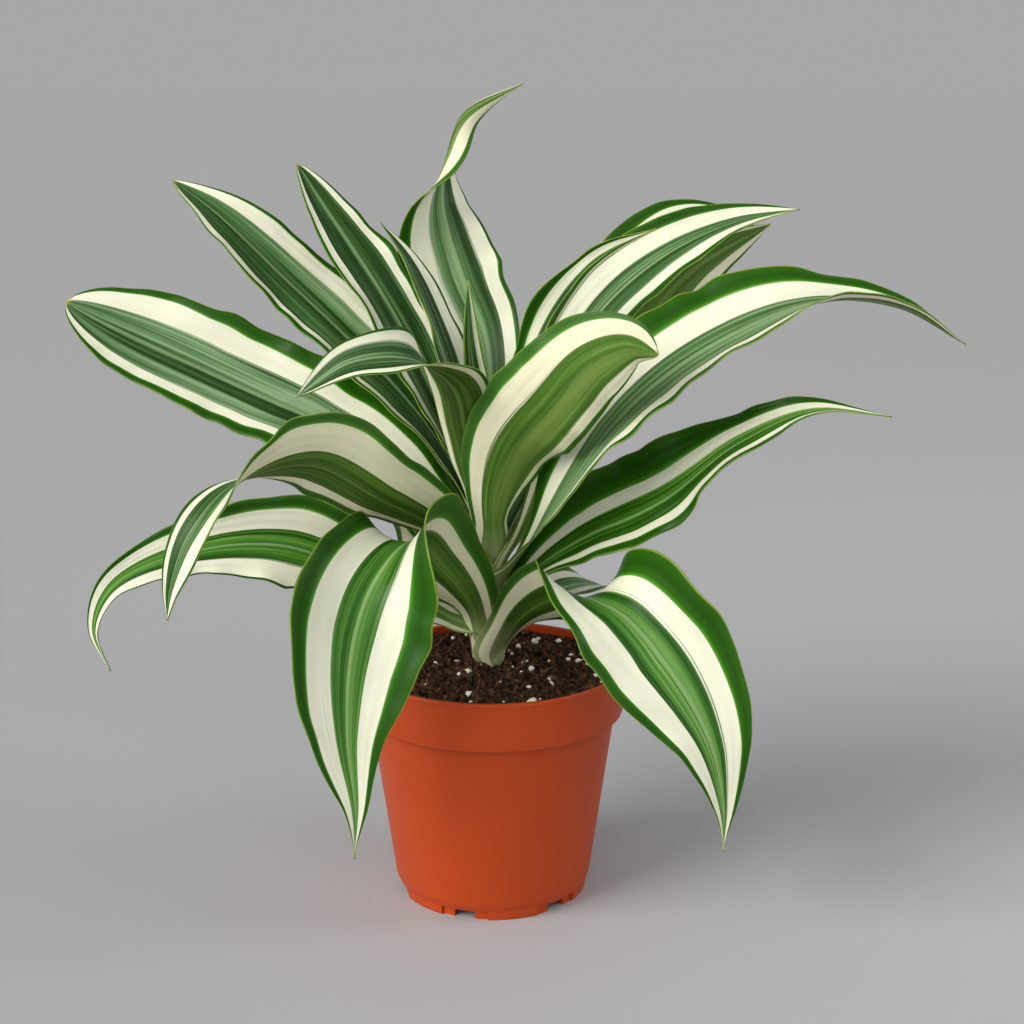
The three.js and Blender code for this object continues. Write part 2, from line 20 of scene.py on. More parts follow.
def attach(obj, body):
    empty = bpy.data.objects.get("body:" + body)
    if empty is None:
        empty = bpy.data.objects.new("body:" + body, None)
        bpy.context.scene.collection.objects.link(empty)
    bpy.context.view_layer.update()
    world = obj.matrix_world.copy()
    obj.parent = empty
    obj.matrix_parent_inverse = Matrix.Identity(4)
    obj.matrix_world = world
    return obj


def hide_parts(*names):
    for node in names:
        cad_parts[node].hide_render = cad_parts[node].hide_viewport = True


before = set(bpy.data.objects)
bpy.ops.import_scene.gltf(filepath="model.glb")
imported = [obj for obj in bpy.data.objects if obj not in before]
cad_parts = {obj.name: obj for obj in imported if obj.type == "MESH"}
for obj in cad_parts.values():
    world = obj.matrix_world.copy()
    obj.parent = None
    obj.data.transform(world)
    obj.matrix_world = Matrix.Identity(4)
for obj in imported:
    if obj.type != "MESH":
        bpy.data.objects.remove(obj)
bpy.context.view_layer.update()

LOG = logging.getLogger("dracaena")

MM = 0.001
WELD_DISTANCE = 1e-6  # points that lie nearer than this become one
FILLET_ROOM = 0.45  # how much of the side between two corners one of them may round off
BODY = "root"

Point = tuple[float, float, float]
RadiusHeight = tuple[float, float]
Range = tuple[float, float]
Shades = tuple[str, str, str, str]
Array = np.ndarray
Piece = bpy.types.Object
Tree = bpy.types.NodeTree
Socket = bpy.types.NodeSocket


class Slot(Enum):
    """The record's material slots."""

    POT = "pot_plastic"
    SOIL = "potting_soil"
    STEM = "stem"
    LEAF = "leaf"


class Coat(Enum):
    """The order of a blade's three finishes in its material slots."""

    UPPER = 0
    UNDER = 1
    RIM = 2


# ---------------------------------------------------------------------------------------------------
# Workbench: colours, nodes and the handling of pieces
# ---------------------------------------------------------------------------------------------------

FULL_CHANNEL = 255
SRGB_KNEE = 0.04045
SRGB_SLOPE = 12.92
SRGB_OFFSET = 0.055
SRGB_GAMMA = 2.4


def linear(hex_colour: str) -> tuple[float, float, float, float]:
    """Turns an sRGB hex colour to linear light.

    Args:
        hex_colour: The colour as "#rrggbb".

    Returns:
        Red, green, blue and full opacity.
    """
    channels = [int(hex_colour[i : i + 2], 16) / FULL_CHANNEL for i in (1, 3, 5)]
    red, green, blue = (
        c / SRGB_SLOPE if c <= SRGB_KNEE else ((c + SRGB_OFFSET) / (1 + SRGB_OFFSET)) ** SRGB_GAMMA
        for c in channels
    )
    return red, green, blue, 1.0


def add_node(
    tree: Tree,
    kind: str,
    inputs: Mapping[int | str, Any] | None = None,
    ramp: Sequence[tuple[float, Any]] = (),
    **settings: Any,
) -> bpy.types.Node:
    """Adds a node, its settings and what feeds it.

    Args:
        tree: The material's node tree.
        kind: Blender's name for the node.
        inputs: The value, hex colour or socket that feeds each input, by its name or number.
        ramp: The stops of a colour ramp, each a place and a hex colour or a grey level.
        **settings: The node's own properties.

    Returns:
        The node.
    """
    node = tree.nodes.new(kind)
    for name, value in settings.items():
        setattr(node, name, value)
    for key, value in (inputs or {}).items():
        if isinstance(value, bpy.types.NodeSocket):
            tree.links.new(value, node.inputs[key])
        else:
            node.inputs[key].default_value = linear(value) if isinstance(value, str) else value
    for index, (place, shade) in enumerate(ramp):
        stops = node.color_ramp.elements
        stop = stops[index] if index < len(stops) else stops.new(place)
        stop.position = place
        stop.color = linear(shade) if isinstance(shade, str) else (shade, shade, shade, 1.0)
    return node


def new_material(name: str) -> tuple[bpy.types.Material, Tree, bpy.types.Node]:
    """Starts a node material.

    Args:
        name: The real material's name.

    Returns:
        The material, its empty node tree and its output node.
    """
    material = bpy.data.materials.new(name)
    material.use_nodes = True
    tree = material.node_tree
    tree.nodes.clear()
    output = add_node(tree, "ShaderNodeOutputMaterial")
    return material, tree, output


def deselect_all() -> None:
    """Leaves nothing selected, so that the next operator acts on its own piece alone."""
    if bpy.context.mode != "OBJECT":
        bpy.ops.object.mode_set(mode="OBJECT")
    bpy.ops.object.select_all(action="DESELECT")


def choose(piece: Piece) -> None:
    """Selects one piece and makes it active.

    Args:
        piece: The piece that the next operator acts on.
    """
    deselect_all()
    piece.select_set(True)
    bpy.context.view_layer.objects.active = piece


def start_piece(add_primitive: Callable[..., Any], name: str, **settings: Any) -> Piece:
    """Adds a primitive with its place applied to its mesh.

    Args:
        add_primitive: The operator that adds it.
        name: The new piece's name.
        **settings: The primitive's size and place.

    Returns:
        The new piece, selected and active.
    """
    deselect_all()
    add_primitive(**settings)
    piece = bpy.context.object
    piece.name = name
    piece.data.name = name
    bpy.ops.object.transform_apply(location=True, rotation=True, scale=True)
    return piece


def apply_modifier(piece: Piece, kind: str, **settings: Any) -> None:
    """Adds a modifier and applies it.

    Args:
        piece: The piece that it changes.
        kind: Blender's name for the modifier.
        **settings: The modifier's own properties.
    """
    choose(piece)
    modifier = piece.modifiers.new(kind.title(), kind)
    for name, value in settings.items():
        setattr(modifier, name, value)
    bpy.ops.object.modifier_apply(modifier=modifier.name)


def vertices_of(piece: Piece) -> Array:
    """Reads a piece's vertices.

    Args:
        piece: The piece.

    Returns:
        One row for each vertex, in metres.
    """
    flat = np.empty(len(piece.data.vertices) * 3)
    piece.data.vertices.foreach_get("co", flat)
    return flat.reshape(-1, 3)


def move_vertices(piece: Piece, places: Array) -> None:
    """Puts a piece's vertices at new places, in metres."""
    piece.data.vertices.foreach_set("co", np.asarray(places, float).ravel())
    piece.data.update()


def join_pieces(parts: Sequence[Piece], name: str) -> Piece:
    """Joins pieces to one.

    Args:
        parts: The pieces, each with its own mesh.
        name: The joined piece's name.

    Returns:
        The joined piece.
    """
    deselect_all()
    for part in parts:
        part.select_set(True)
    bpy.context.view_layer.objects.active = parts[0]
    bpy.ops.object.join()
    whole = bpy.context.object
    whole.name = name
    whole.data.name = name
    return whole


def weld() -> None:
    """Closes the seams and poles of the mesh in edit mode and turns its faces outwards."""
    bpy.ops.mesh.select_all(action="SELECT")
    bpy.ops.mesh.remove_doubles(threshold=WELD_DISTANCE)
    bpy.ops.mesh.normals_make_consistent(inside=False)


def filleted(corners: Sequence[Point], steps: int) -> list[RadiusHeight]:
    """Rounds the corners of an outline.

    Args:
        corners: The radius and height of each corner, and how far along its sides it is rounded.
        steps: How many segments round each fillet.

    Returns:
        The outline's points as radius and height.
    """
    outline: list[RadiusHeight] = []
    for index, (radius, height, fillet) in enumerate(corners):
        corner = Vector((radius, height))
        if fillet <= 0 or index in (0, len(corners) - 1):
            outline.append((radius, height))
            continue
        before = Vector(corners[index - 1][:2]) - corner
        after = Vector(corners[index + 1][:2]) - corner
        reach = min(fillet, before.length * FILLET_ROOM, after.length * FILLET_ROOM)
        start = corner + before.normalized() * reach
        end = corner + after.normalized() * reach
        for step in range(steps + 1):
            share = step / steps
            near, far = start.lerp(corner, share), corner.lerp(end, share)
            place = near.lerp(far, share)
            outline.append((place.x, place.y))
    return outline


def spun_body(name: str, outline: Sequence[RadiusHeight], steps: int) -> Piece:
    """Draws an outline out from one vertex and spins it round the upright axis to a closed body.

    Args:
        name: The piece's name.
        outline: Radius and height of each point, with both ends on the axis, in millimetres.
        steps: How many segments go round.

    Returns:
        The body.
    """
    first_radius, first_height = outline[0]
    start = (first_radius * MM, 0.0, first_height * MM)
    piece = start_piece(bpy.ops.mesh.primitive_plane_add, name, size=MM, location=start)
    bpy.ops.object.mode_set(mode="EDIT")
    bpy.ops.mesh.select_all(action="SELECT")
    bpy.ops.mesh.merge(type="CENTER")
    for (radius, height), (next_radius, next_height) in zip(outline, outline[1:]):
        step = ((next_radius - radius) * MM, 0.0, (next_height - height) * MM)
        bpy.ops.mesh.extrude_region_move(TRANSFORM_OT_translate={"value": step})
    bpy.ops.mesh.select_all(action="SELECT")
    bpy.ops.mesh.spin(steps=steps, angle=math.tau, center=(0, 0, 0), axis=(0, 0, 1))
    weld()
    bpy.ops.object.mode_set(mode="OBJECT")
    return piece


def hand_over(piece: Piece, node: str) -> None:
    """Ties a piece to the frame: what it rides on and what it stands for.

    Args:
        piece: The finished piece.
        node: The CAD node that it stands for.
    """
    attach(piece, BODY)
    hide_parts(node)
    LOG.info("%s: %d faces, stands for %s", piece.name, len(piece.data.polygons), node)


# ---------------------------------------------------------------------------------------------------
# Curves that the leaves are drawn with
# ---------------------------------------------------------------------------------------------------

# How many random values a drifting line passes through: two to a swing, and never fewer than four.
STATIONS_A_SWING = 2
FEWEST_STATIONS = 4


def stretches(known: Array, shares: Array) -> tuple[list[Array], Array]:
    """Finds the stretch of a curve on which each share lies.

    Args:
        known: The rows that the curve passes through, an equal share apart.
        shares: Where to read it, from 0 to 1.

    Returns:
        The four rows round each share, and how far along its stretch the share lies.
    """
    padded = np.vstack([2 * known[0] - known[1], known, 2 * known[-1] - known[-2]])
    place = np.clip(shares, 0, 1) * (len(known) - 1)
    index = np.minimum(place.astype(int), len(known) - 2)
    return [padded[index + k] for k in range(4)], (place - index)[:, None]


def cubic(start: Array, end: Array, leave: Array, arrive: Array, way: Array) -> Array:
    """Reads the smooth curve over each stretch.

    Args:
        start: The row that each stretch starts from.
        end: The row that it ends at.
        leave: Its slope at the start.
        arrive: Its slope at the end.
        way: How far along it to read, from 0 to 1.

    Returns:
        One row for each stretch.
    """
    square = -3 * start + 3 * end - 2 * leave - arrive
    cube = 2 * start - 2 * end + leave + arrive
    return start + leave * way + square * way**2 + cube * way**3


def smooth_value(values: Sequence[float], shares: Array) -> Array:
    """Reads a smooth curve through evenly spaced values.

    Args:
        values: The values at evenly spaced stations.
        shares: Where to read it, from 0 to 1.

    Returns:
        One value for each share.
    """
    (before, start, end, after), way = stretches(np.asarray(values, float)[:, None], shares)
    return cubic(start, end, (end - before) / 2, (after - start) / 2, way)[:, 0]


def smooth_path(points: Sequence[Point], shares: Array) -> Array:
    """Reads a smooth curve through points that lie unevenly apart.

    Args:
        points: The points that it passes through.
        shares: Where to read it, from 0 to 1, an equal share to each stretch.

    Returns:
        One point for each share.
    """
    (before, start, end, after), way = stretches(np.asarray(points, float), shares)
    first, middle, last = (
        np.sqrt(np.linalg.norm(step, axis=1))[:, None]
        for step in (start - before, end - start, after - end)
    )
    leave = (start - before) / first - (end - before) / (first + middle) + (end - start) / middle
    arrive = (end - start) / middle - (after - start) / (middle + last) + (after - end) / last
    return cubic(start, end, leave * middle, arrive * middle, way)


def unit(vectors: Array) -> Array:
    """Scales each row to length 1."""
    return vectors / np.linalg.norm(vectors, axis=-1, keepdims=True)


def eased(shares: Array) -> Array:
    """Eases shares from 0 to 1 in and out."""
    return shares * shares * (3 - 2 * shares)


def drift(chance: random.Random, shares: Array, swings: float) -> Array:
    """Draws a smooth random line.

    Args:
        chance: The seeded source.
        shares: Where to read it, from 0 to 1.
        swings: About how many times it swings over the whole length.

    Returns:
        Values within about -1 and 1.
    """
    stations = max(FEWEST_STATIONS, round(swings * STATIONS_A_SWING))
    return smooth_value([chance.uniform(-1, 1) for _ in range(stations)], shares)


# ---------------------------------------------------------------------------------------------------
# Finishes
# ---------------------------------------------------------------------------------------------------

# Every blade's own stripe borders are laid on these shared places across it, from 0 to 1.
BAND_BORDERS = (0.18, 0.36, 0.64, 0.82)
MIDRIB = 0.5

# A blade's map of its stripes, and what its points say of the leaf: its seed, vigour and tone.
BAND_MAP = "bands"
LEAF_MARKS = ("leaf_seed", "leaf_vigour", "leaf_tone")

# An average blade, which turns real sizes to pattern scales across and along it.
BLADE_WIDTH_MM = 48.0
BLADE_LENGTH_MM = 240.0


@dataclass(frozen=True)
class StripedBlade:
    """One face of a living strap leaf: waxy, striped along its length, with fine parallel veins.

    The centre's shades run from dark to pale. A greyed leaf and a vivid one are mixed by each leaf's
    own vigour, and a leaf's own tone makes it darker or paler. Sizes that end in mm are real ones.
    The other widths are shares of the blade's width, and its base and tip are shares of its length.
    """

    name: str
    hairline: str
    margin: str
    margin_deep: str
    border_line: str
    white: str
    white_shade: str
    greyed: Shades
    vivid: Shades
    midrib: str
    base_tint: str
    tip_tint: str
    roughness: Range
    relief_mm: float
    relief_strength: float = 0.6
    ior: float = 1.45
    specular: float = 0.2
    noise_detail: float = 3.0
    noise_roughness: float = 0.62
    noise_range: Range = (0.25, 0.75)
    streak_mm: float = 4.5
    streak_length_mm: float = 300.0
    line_mm: float = 0.9
    line_length_mm: float = 160.0
    line_contrast: float = 0.15
    stray_mm: float = 1.26
    stray_range: Range = (0.7, 0.72)
    stray_share: float = 0.7
    vein_mm: float = 0.35
    vein_length_mm: float = 120.0
    patch_mm: float = 24.0
    patch_length_mm: float = 48.0
    patch_shades: Range = (0.9, 1.08)
    shade_places: tuple[float, float, float, float] = (0.36, 0.47, 0.57, 0.68)
    hair_width: float = 0.004
    hair_fade: float = 0.012
    border_width: float = 0.006
    border_fade: float = 0.03
    margin_ragged: float = 0.005
    margin_soft: float = 0.002
    centre_ragged: float = 0.022
    centre_soft: float = 0.004
    rib_half_width: float = 0.009
    rib_soft: float = 0.006
    rib_share: float = 0.6
    base_reach: float = 0.1
    base_share: float = 0.35
    tip_range: Range = (0.99, 0.997)
    tip_share: float = 0.8

    def lengthwise(self, tree: Tree, place: Socket, across_mm: float, along_mm: float) -> Socket:
        """Noise drawn out along the blade.

        Args:
            tree: The material's node tree.
            place: Where the point lies across and along the blade, and the blade's seed.
            across_mm: The width of one streak.
            along_mm: The length of one streak.

        Returns:
            A grey value that swings about one half.
        """
        scale = (BLADE_WIDTH_MM / across_mm, BLADE_LENGTH_MM / along_mm, 1.0)
        drawn = add_node(tree, "ShaderNodeVectorMath", {0: place, 1: scale}, operation="MULTIPLY")
        grain = {
            "Vector": drawn.outputs[0],
            "Scale": 1.0,
            "Detail": self.noise_detail,
            "Roughness": self.noise_roughness,
        }
        return add_node(tree, "ShaderNodeTexNoise", grain).outputs[0]

    def nudged(self, tree: Tree, value: Socket, swing: Socket, reach: float) -> Socket:
        """Moves a value up and down with a noise.

        Args:
            tree: The material's node tree.
            value: The value.
            swing: The noise, which swings about one half.
            reach: How far the value moves to either side.

        Returns:
            The moved value.
        """
        low, high = self.noise_range
        shift = add_node(tree, "ShaderNodeMapRange", {0: swing, 1: low, 2: high, 3: -reach, 4: reach})
        moved = add_node(tree, "ShaderNodeMath", {0: value, 1: shift.outputs[0]}, operation="ADD")
        return moved.outputs[0]

    def layered(
        self, tree: Tree, ground: Socket | str, layers: Sequence[tuple[Socket, Socket | str]]
    ) -> Socket:
        """Lays colours over one another.

        Args:
            tree: The material's node tree.
            ground: The lowest colour, a socket or a hex colour.
            layers: How much of each further colour shows, and that colour, from below up.

        Returns:
            The colour that shows.
        """
        colour = ground
        for share, above in layers:
            mix = add_node(tree, "ShaderNodeMix", {0: share, 6: colour, 7: above}, data_type="RGBA")
            colour = mix.outputs[2]
        return colour

    def window(self, tree: Tree, across: Socket, start: float, end: float, soft: float) -> Socket:
        """Marks what lies between two borders.

        Args:
            tree: The material's node tree.
            across: The place across the blade.
            start: The left border.
            end: The right border.
            soft: Half the width of the border's fade.

        Returns:
            1 between the borders and 0 outside them.
        """
        stops = (
            (start - soft, 0.0), (start + soft, 1.0), (end - soft, 1.0), (end + soft, 0.0),
        )
        return add_node(tree, "ShaderNodeValToRGB", {0: across}, ramp=stops).outputs[0]

    def margins(self, tree: Tree, across: Socket) -> Socket:
        """Colours both green margins, from the hairline edge to the bright line at their border.

        Args:
            tree: The material's node tree.
            across: The place across the blade.

        Returns:
            The margins' colour.
        """
        border = BAND_BORDERS[0]
        half = [
            (0.0, self.hairline),
            (self.hair_width, self.hairline),
            (self.hair_fade, self.margin),
            (border / 2, self.margin_deep),
            (border - self.border_fade, self.margin),
            (border - self.border_width, self.border_line),
        ]
        mirrored = [(1.0 - place, shade) for place, shade in reversed(half)]
        return add_node(tree, "ShaderNodeValToRGB", {0: across}, ramp=half + mirrored).outputs[0]

    def centre(self, tree: Tree, place: Socket, across: Socket, vigour: Socket, tone: Socket) -> Socket:
        """Colours the centre: long streaks of several greens, finer lines over them, and the midrib.

        Args:
            tree: The material's node tree.
            place: Where the point lies across and along the blade, and the blade's seed.
            across: The place across the blade.
            vigour: How vivid the leaf is.
            tone: How much paler than most the leaf is.

        Returns:
            The centre's colour.
        """
        streak = self.lengthwise(tree, place, self.streak_mm, self.streak_length_mm)
        line = self.lengthwise(tree, place, self.line_mm, self.line_length_mm)
        lined = self.nudged(tree, streak, line, self.line_contrast)
        level = add_node(tree, "ShaderNodeMath", {0: lined, 1: tone}, operation="ADD").outputs[0]
        faces = []
        for shades in (self.greyed, self.vivid):
            stops = list(zip(self.shade_places, shades))
            faces.append(add_node(tree, "ShaderNodeValToRGB", {0: level}, ramp=stops).outputs[0])
        left, right = MIDRIB - self.rib_half_width, MIDRIB + self.rib_half_width
        rib = self.window(tree, across, left, right, self.rib_soft)
        shown = add_node(tree, "ShaderNodeMath", {0: rib, 1: self.rib_share}, operation="MULTIPLY")
        return self.layered(tree, faces[0], ((vigour, faces[1]), (shown.outputs[0], self.midrib)))

    def aged(self, tree: Tree, colour: Socket, along: Socket, patch: Socket) -> Socket:
        """Shades a colour in soft patches, pales it at the blade's base and yellows it at the tip.

        Args:
            tree: The material's node tree.
            colour: The colour.
            along: The place along the blade.
            patch: The noise of the patches.

        Returns:
            The shaded and tinted colour.
        """
        (low, high), (darkest, palest) = self.noise_range, self.patch_shades
        shade = add_node(tree, "ShaderNodeMapRange", {0: patch, 1: low, 2: high, 3: darkest, 4: palest})
        shaded = add_node(tree, "ShaderNodeVectorMath", {0: colour, 3: shade.outputs[0]}, operation="SCALE")
        fading = {0: along, 1: 0.0, 2: self.base_reach, 3: self.base_share, 4: 0.0}
        base = add_node(tree, "ShaderNodeMapRange", fading).outputs[0]
        dry, end = self.tip_range
        tip = add_node(tree, "ShaderNodeMapRange", {0: along, 1: dry, 2: end, 3: 0.0, 4: self.tip_share})
        tints = ((base, self.base_tint), (tip.outputs[0], self.tip_tint))
        return self.layered(tree, shaded.outputs[0], tints)

    def material(self) -> bpy.types.Material:
        """Builds the finish as a node material.

        Returns:
            The material.
        """
        material, tree, output = new_material(self.name)
        bands = add_node(tree, "ShaderNodeUVMap", uv_map=BAND_MAP)
        split = add_node(tree, "ShaderNodeSeparateXYZ", {0: bands.outputs[0]})
        across, along = split.outputs[0], split.outputs[1]
        seed, vigour, tone = (
            add_node(tree, "ShaderNodeAttribute", attribute_name=name).outputs["Fac"]
            for name in LEAF_MARKS
        )
        place = add_node(tree, "ShaderNodeCombineXYZ", {0: across, 1: along, 2: seed}).outputs[0]
        vein = self.lengthwise(tree, place, self.vein_mm, self.vein_length_mm)
        patch = self.lengthwise(tree, place, self.patch_mm, self.patch_length_mm)
        stray = self.lengthwise(tree, place, self.stray_mm, self.streak_length_mm)
        outer = self.nudged(tree, across, vein, self.margin_ragged)
        inner = self.nudged(tree, across, stray, self.centre_ragged)

        left_margin, left_centre, right_centre, right_margin = BAND_BORDERS
        in_margins = self.window(tree, outer, left_margin, right_margin, self.margin_soft)
        in_centre = self.window(tree, inner, left_centre, right_centre, self.centre_soft)
        green = self.centre(tree, place, outer, vigour, tone)
        middle = self.layered(tree, self.white_shade, ((vein, self.white), (in_centre, green)))
        rare, full = self.stray_range
        lone = add_node(
            tree, "ShaderNodeMapRange", {0: stray, 1: rare, 2: full, 3: 0.0, 4: self.stray_share}
        ).outputs[0]
        stripes = ((in_margins, middle), (lone, self.greyed[2]))
        colour = self.layered(tree, self.margins(tree, outer), stripes)

        (low, high), (smooth, matt) = self.noise_range, self.roughness
        gloss = add_node(tree, "ShaderNodeMapRange", {0: patch, 1: low, 2: high, 3: smooth, 4: matt})
        relief = {"Height": vein, "Distance": self.relief_mm * MM, "Strength": self.relief_strength}
        bump = add_node(tree, "ShaderNodeBump", relief)
        surface = {
            "Base Color": self.aged(tree, colour, along, patch),
            "Roughness": gloss.outputs[0],
            "Normal": bump.outputs[0],
            "IOR": self.ior,
            "Specular IOR Level": self.specular,
        }
        shader = add_node(tree, "ShaderNodeBsdfPrincipled", surface)
        tree.links.new(shader.outputs[0], output.inputs[0])
        return material


# Waxy cuticle over soft green tissue: clear gloss on deep margins, milky cream where there is no green.
UPPER_FACE = StripedBlade(
    name="dracaena_leaf_upper_face",
    hairline="#86963a",
    margin="#2b5f07",
    margin_deep="#1f4c05",
    border_line="#4a8f1b",
    white="#f0f0dd",
    white_shade="#e5e6c9",
    greyed=("#22401a", "#3f6234", "#63865a", "#8ba77d"),
    vivid=("#23520a", "#3b7616", "#5a9130", "#86ad55"),
    midrib="#9dba84",
    base_tint="#d5d8a8",
    tip_tint="#b09a34",
    roughness=(0.3, 0.42),
    relief_mm=0.05,
)

# The same blade from below, with no gloss: olive where it is green and warm cream where it is white.
UNDER_FACE = StripedBlade(
    name="dracaena_leaf_underside",
    hairline="#86963a",
    margin="#396d17",
    margin_deep="#2f5f12",
    border_line="#5b9a2a",
    white="#f1efd2",
    white_shade="#e6e3bc",
    greyed=("#3a5518", "#496a21", "#587b2c", "#76924a"),
    vivid=("#345a14", "#446f1d", "#548228", "#73983f"),
    midrib="#7a9445",
    base_tint="#e4e2b4",
    tip_tint="#b09a34",
    roughness=(0.42, 0.55),
    relief_mm=0.07,
    specular=0.3,
)


@dataclass(frozen=True)
class PlainTone:
    """A natural or moulded surface of one colour family, mottled and grained."""

    name: str
    dark: str
    middle: str
    pale: str
    mottle_mm: float
    grain_mm: float
    relief_mm: float
    roughness: Range
    ior: float
    specular: float
    upright_stretch: float = 1.0
    mottle_detail: float = 4.0
    grain_detail: float = 3.0
    grain_range: Range = (0.3, 0.7)
    shade_places: tuple[float, float, float] = (0.3, 0.5, 0.7)

    def material(self) -> bpy.types.Material:
        """Builds the finish as a node material on Object coordinates.

        Returns:
            The material.
        """
        material, tree, output = new_material(self.name)
        place = add_node(tree, "ShaderNodeTexCoord").outputs["Object"]
        scale = (1.0, 1.0, 1.0 / self.upright_stretch)
        drawn = add_node(tree, "ShaderNodeVectorMath", {0: place, 1: scale}, operation="MULTIPLY")
        mottle, grain = (
            add_node(
                tree,
                "ShaderNodeTexNoise",
                {"Vector": drawn.outputs[0], "Scale": 1 / (size * MM), "Detail": detail},
            ).outputs[0]
            for size, detail in (
                (self.mottle_mm, self.mottle_detail), (self.grain_mm, self.grain_detail),
            )
        )
        shades = list(zip(self.shade_places, (self.dark, self.middle, self.pale)))
        colour = add_node(tree, "ShaderNodeValToRGB", {0: mottle}, ramp=shades)
        (low, high), (smooth, matt) = self.grain_range, self.roughness
        rough = add_node(tree, "ShaderNodeMapRange", {0: grain, 1: low, 2: high, 3: smooth, 4: matt})
        relief = {"Height": grain, "Distance": self.relief_mm * MM, "Strength": 1.0}
        bump = add_node(tree, "ShaderNodeBump", relief)
        surface = {
            "Base Color": colour.outputs[0],
            "Roughness": rough.outputs[0],
            "Normal": bump.outputs[0],
            "IOR": self.ior,
            "Specular IOR Level": self.specular,
        }
        shader = add_node(tree, "ShaderNodeBsdfPrincipled", surface)
        tree.links.new(shader.outputs[0], output.inputs[0])
        return material


# Cut edge of the cuticle, thin enough that light gathers in it: a fine yellow-green line.
LEAF_RIM = PlainTone(
    name="dracaena_leaf_rim",
    dark="#4f7a1e", middle="#6f942c", pale="#9db04e",
    mottle_mm=14.0, grain_mm=1.0, relief_mm=0.01,
    roughness=(0.4, 0.5), ior=1.45, specular=0.35,
)
# Injection-moulded polypropylene, satin from a lightly etched mould: broad soft highlights. The etch
# is drawn several times as coarse as it is, so that it shows.
POT_PLASTIC = PlainTone(
    name="moulded_polypropylene_terracotta",
    dark="#b03e0a", middle="#b4400b", pale="#b8430d",
    mottle_mm=60.0, grain_mm=0.5, relief_mm=0.012,
    roughness=(0.4, 0.48), ior=1.49, specular=0.3,
)
# Moist sieved peat, mottled at random from almost black to brown, with no gloss.
PEAT = PlainTone(
    name="moist_peat_mix",
    dark="#180e08", middle="#3a271b", pale="#735138",
    mottle_mm=2.6, grain_mm=0.8, relief_mm=0.5,
    roughness=(0.85, 0.97), ior=1.4, specular=0.25,
)
# Shredded and composted bark: a drier, paler brown than the peat round it, and as dull.
BARK = PlainTone(
    name="composted_bark_crumb",
    dark="#261509", middle="#4c3120", pale="#7c5738",
    mottle_mm=2.2, grain_mm=0.6, relief_mm=0.25,
    roughness=(0.8, 0.95), ior=1.4, specular=0.25,
)
# Expanded volcanic glass: chalky white grains with tiny pores and a few stains.
PERLITE = PlainTone(
    name="expanded_perlite",
    dark="#dcd2bd", middle="#fbf6e9", pale="#fdfbf4",
    mottle_mm=2.2, grain_mm=0.5, relief_mm=0.15,
    roughness=(0.75, 0.9), ior=1.5, specular=0.3,
)
# Soft green stem bark with corky scars: satin, mottled in bands that run round it.
STEM_BARK = PlainTone(
    name="young_green_stem",
    dark="#5f7f33", middle="#86a44c", pale="#aebd74",
    mottle_mm=4.0, grain_mm=0.5, relief_mm=0.12,
    roughness=(0.45, 0.6), ior=1.45, specular=0.35, upright_stretch=0.35,
)


# ---------------------------------------------------------------------------------------------------
# Stem
# ---------------------------------------------------------------------------------------------------


@dataclass(frozen=True)
class Stem:
    """The short green stem, ringed by the scars of leaves that it has shed."""

    x: float = -2.0
    y: float = 6.0
    foot: float = 100.0
    top: float = 205.5
    heights: tuple[float, ...] = (100, 110, 125, 150, 175, 195, 204)
    radii: tuple[float, ...] = (7.2, 6.8, 6.2, 5.4, 4.8, 3.8, 2.5)
    bud_height: float = 1.0
    bud_share: float = 0.6
    scar_spacing: float = 4.4
    scar_depth: float = 0.35
    scar_width: float = 0.7
    tilt: float = 0.8
    tilt_turn: float = 2.4
    level_end: float = 1.0
    segments: int = 64

    def radius(self, height: float) -> float:
        """The stem's radius at a height."""
        return float(np.interp(height, self.heights, self.radii))

    def outline(self) -> list[RadiusHeight]:
        """Draws the ringed outline.

        Returns:
            Its points as radius and height, from the foot to the top.
        """
        line: list[RadiusHeight] = [(0.0, self.foot), (self.radius(self.foot), self.foot)]
        height = self.foot + self.scar_spacing
        while height < self.top - self.scar_spacing:
            radius = self.radius(height)
            line.append((radius, height - self.scar_width))
            line.append((radius - self.scar_depth, height))
            line.append((radius + self.scar_depth / 2, height + self.scar_width))
            height += self.scar_spacing
        line.append((self.radii[-1], self.top - self.bud_height))
        line.append((self.radii[-1] * self.bud_share, self.top))
        line.append((0.0, self.top))
        return line

    def build(self) -> Piece:
        """Builds and dresses the stem, with its rings tilted this way and that.

        Returns:
            The finished piece.
        """
        piece = spun_body("stem_ringed", self.outline(), self.segments)
        places = vertices_of(piece)
        turn = np.arctan2(places[:, 1], places[:, 0])
        lowest, highest = (self.foot + self.level_end) * MM, (self.top - self.level_end) * MM
        free = (places[:, 2] > lowest) & (places[:, 2] < highest)
        phase = places[:, 2] / (self.scar_spacing * MM) * self.tilt_turn
        places[:, 2] += np.where(free, self.tilt * MM * np.sin(turn + phase), 0)
        places[:, 0] += self.x * MM
        places[:, 1] += self.y * MM
        move_vertices(piece, places)
        choose(piece)
        bpy.ops.object.shade_smooth()
        piece.data.materials.append(STEM_BARK.material())
        hand_over(piece, "stem")
        return piece


# ---------------------------------------------------------------------------------------------------
# Leaves
# ---------------------------------------------------------------------------------------------------


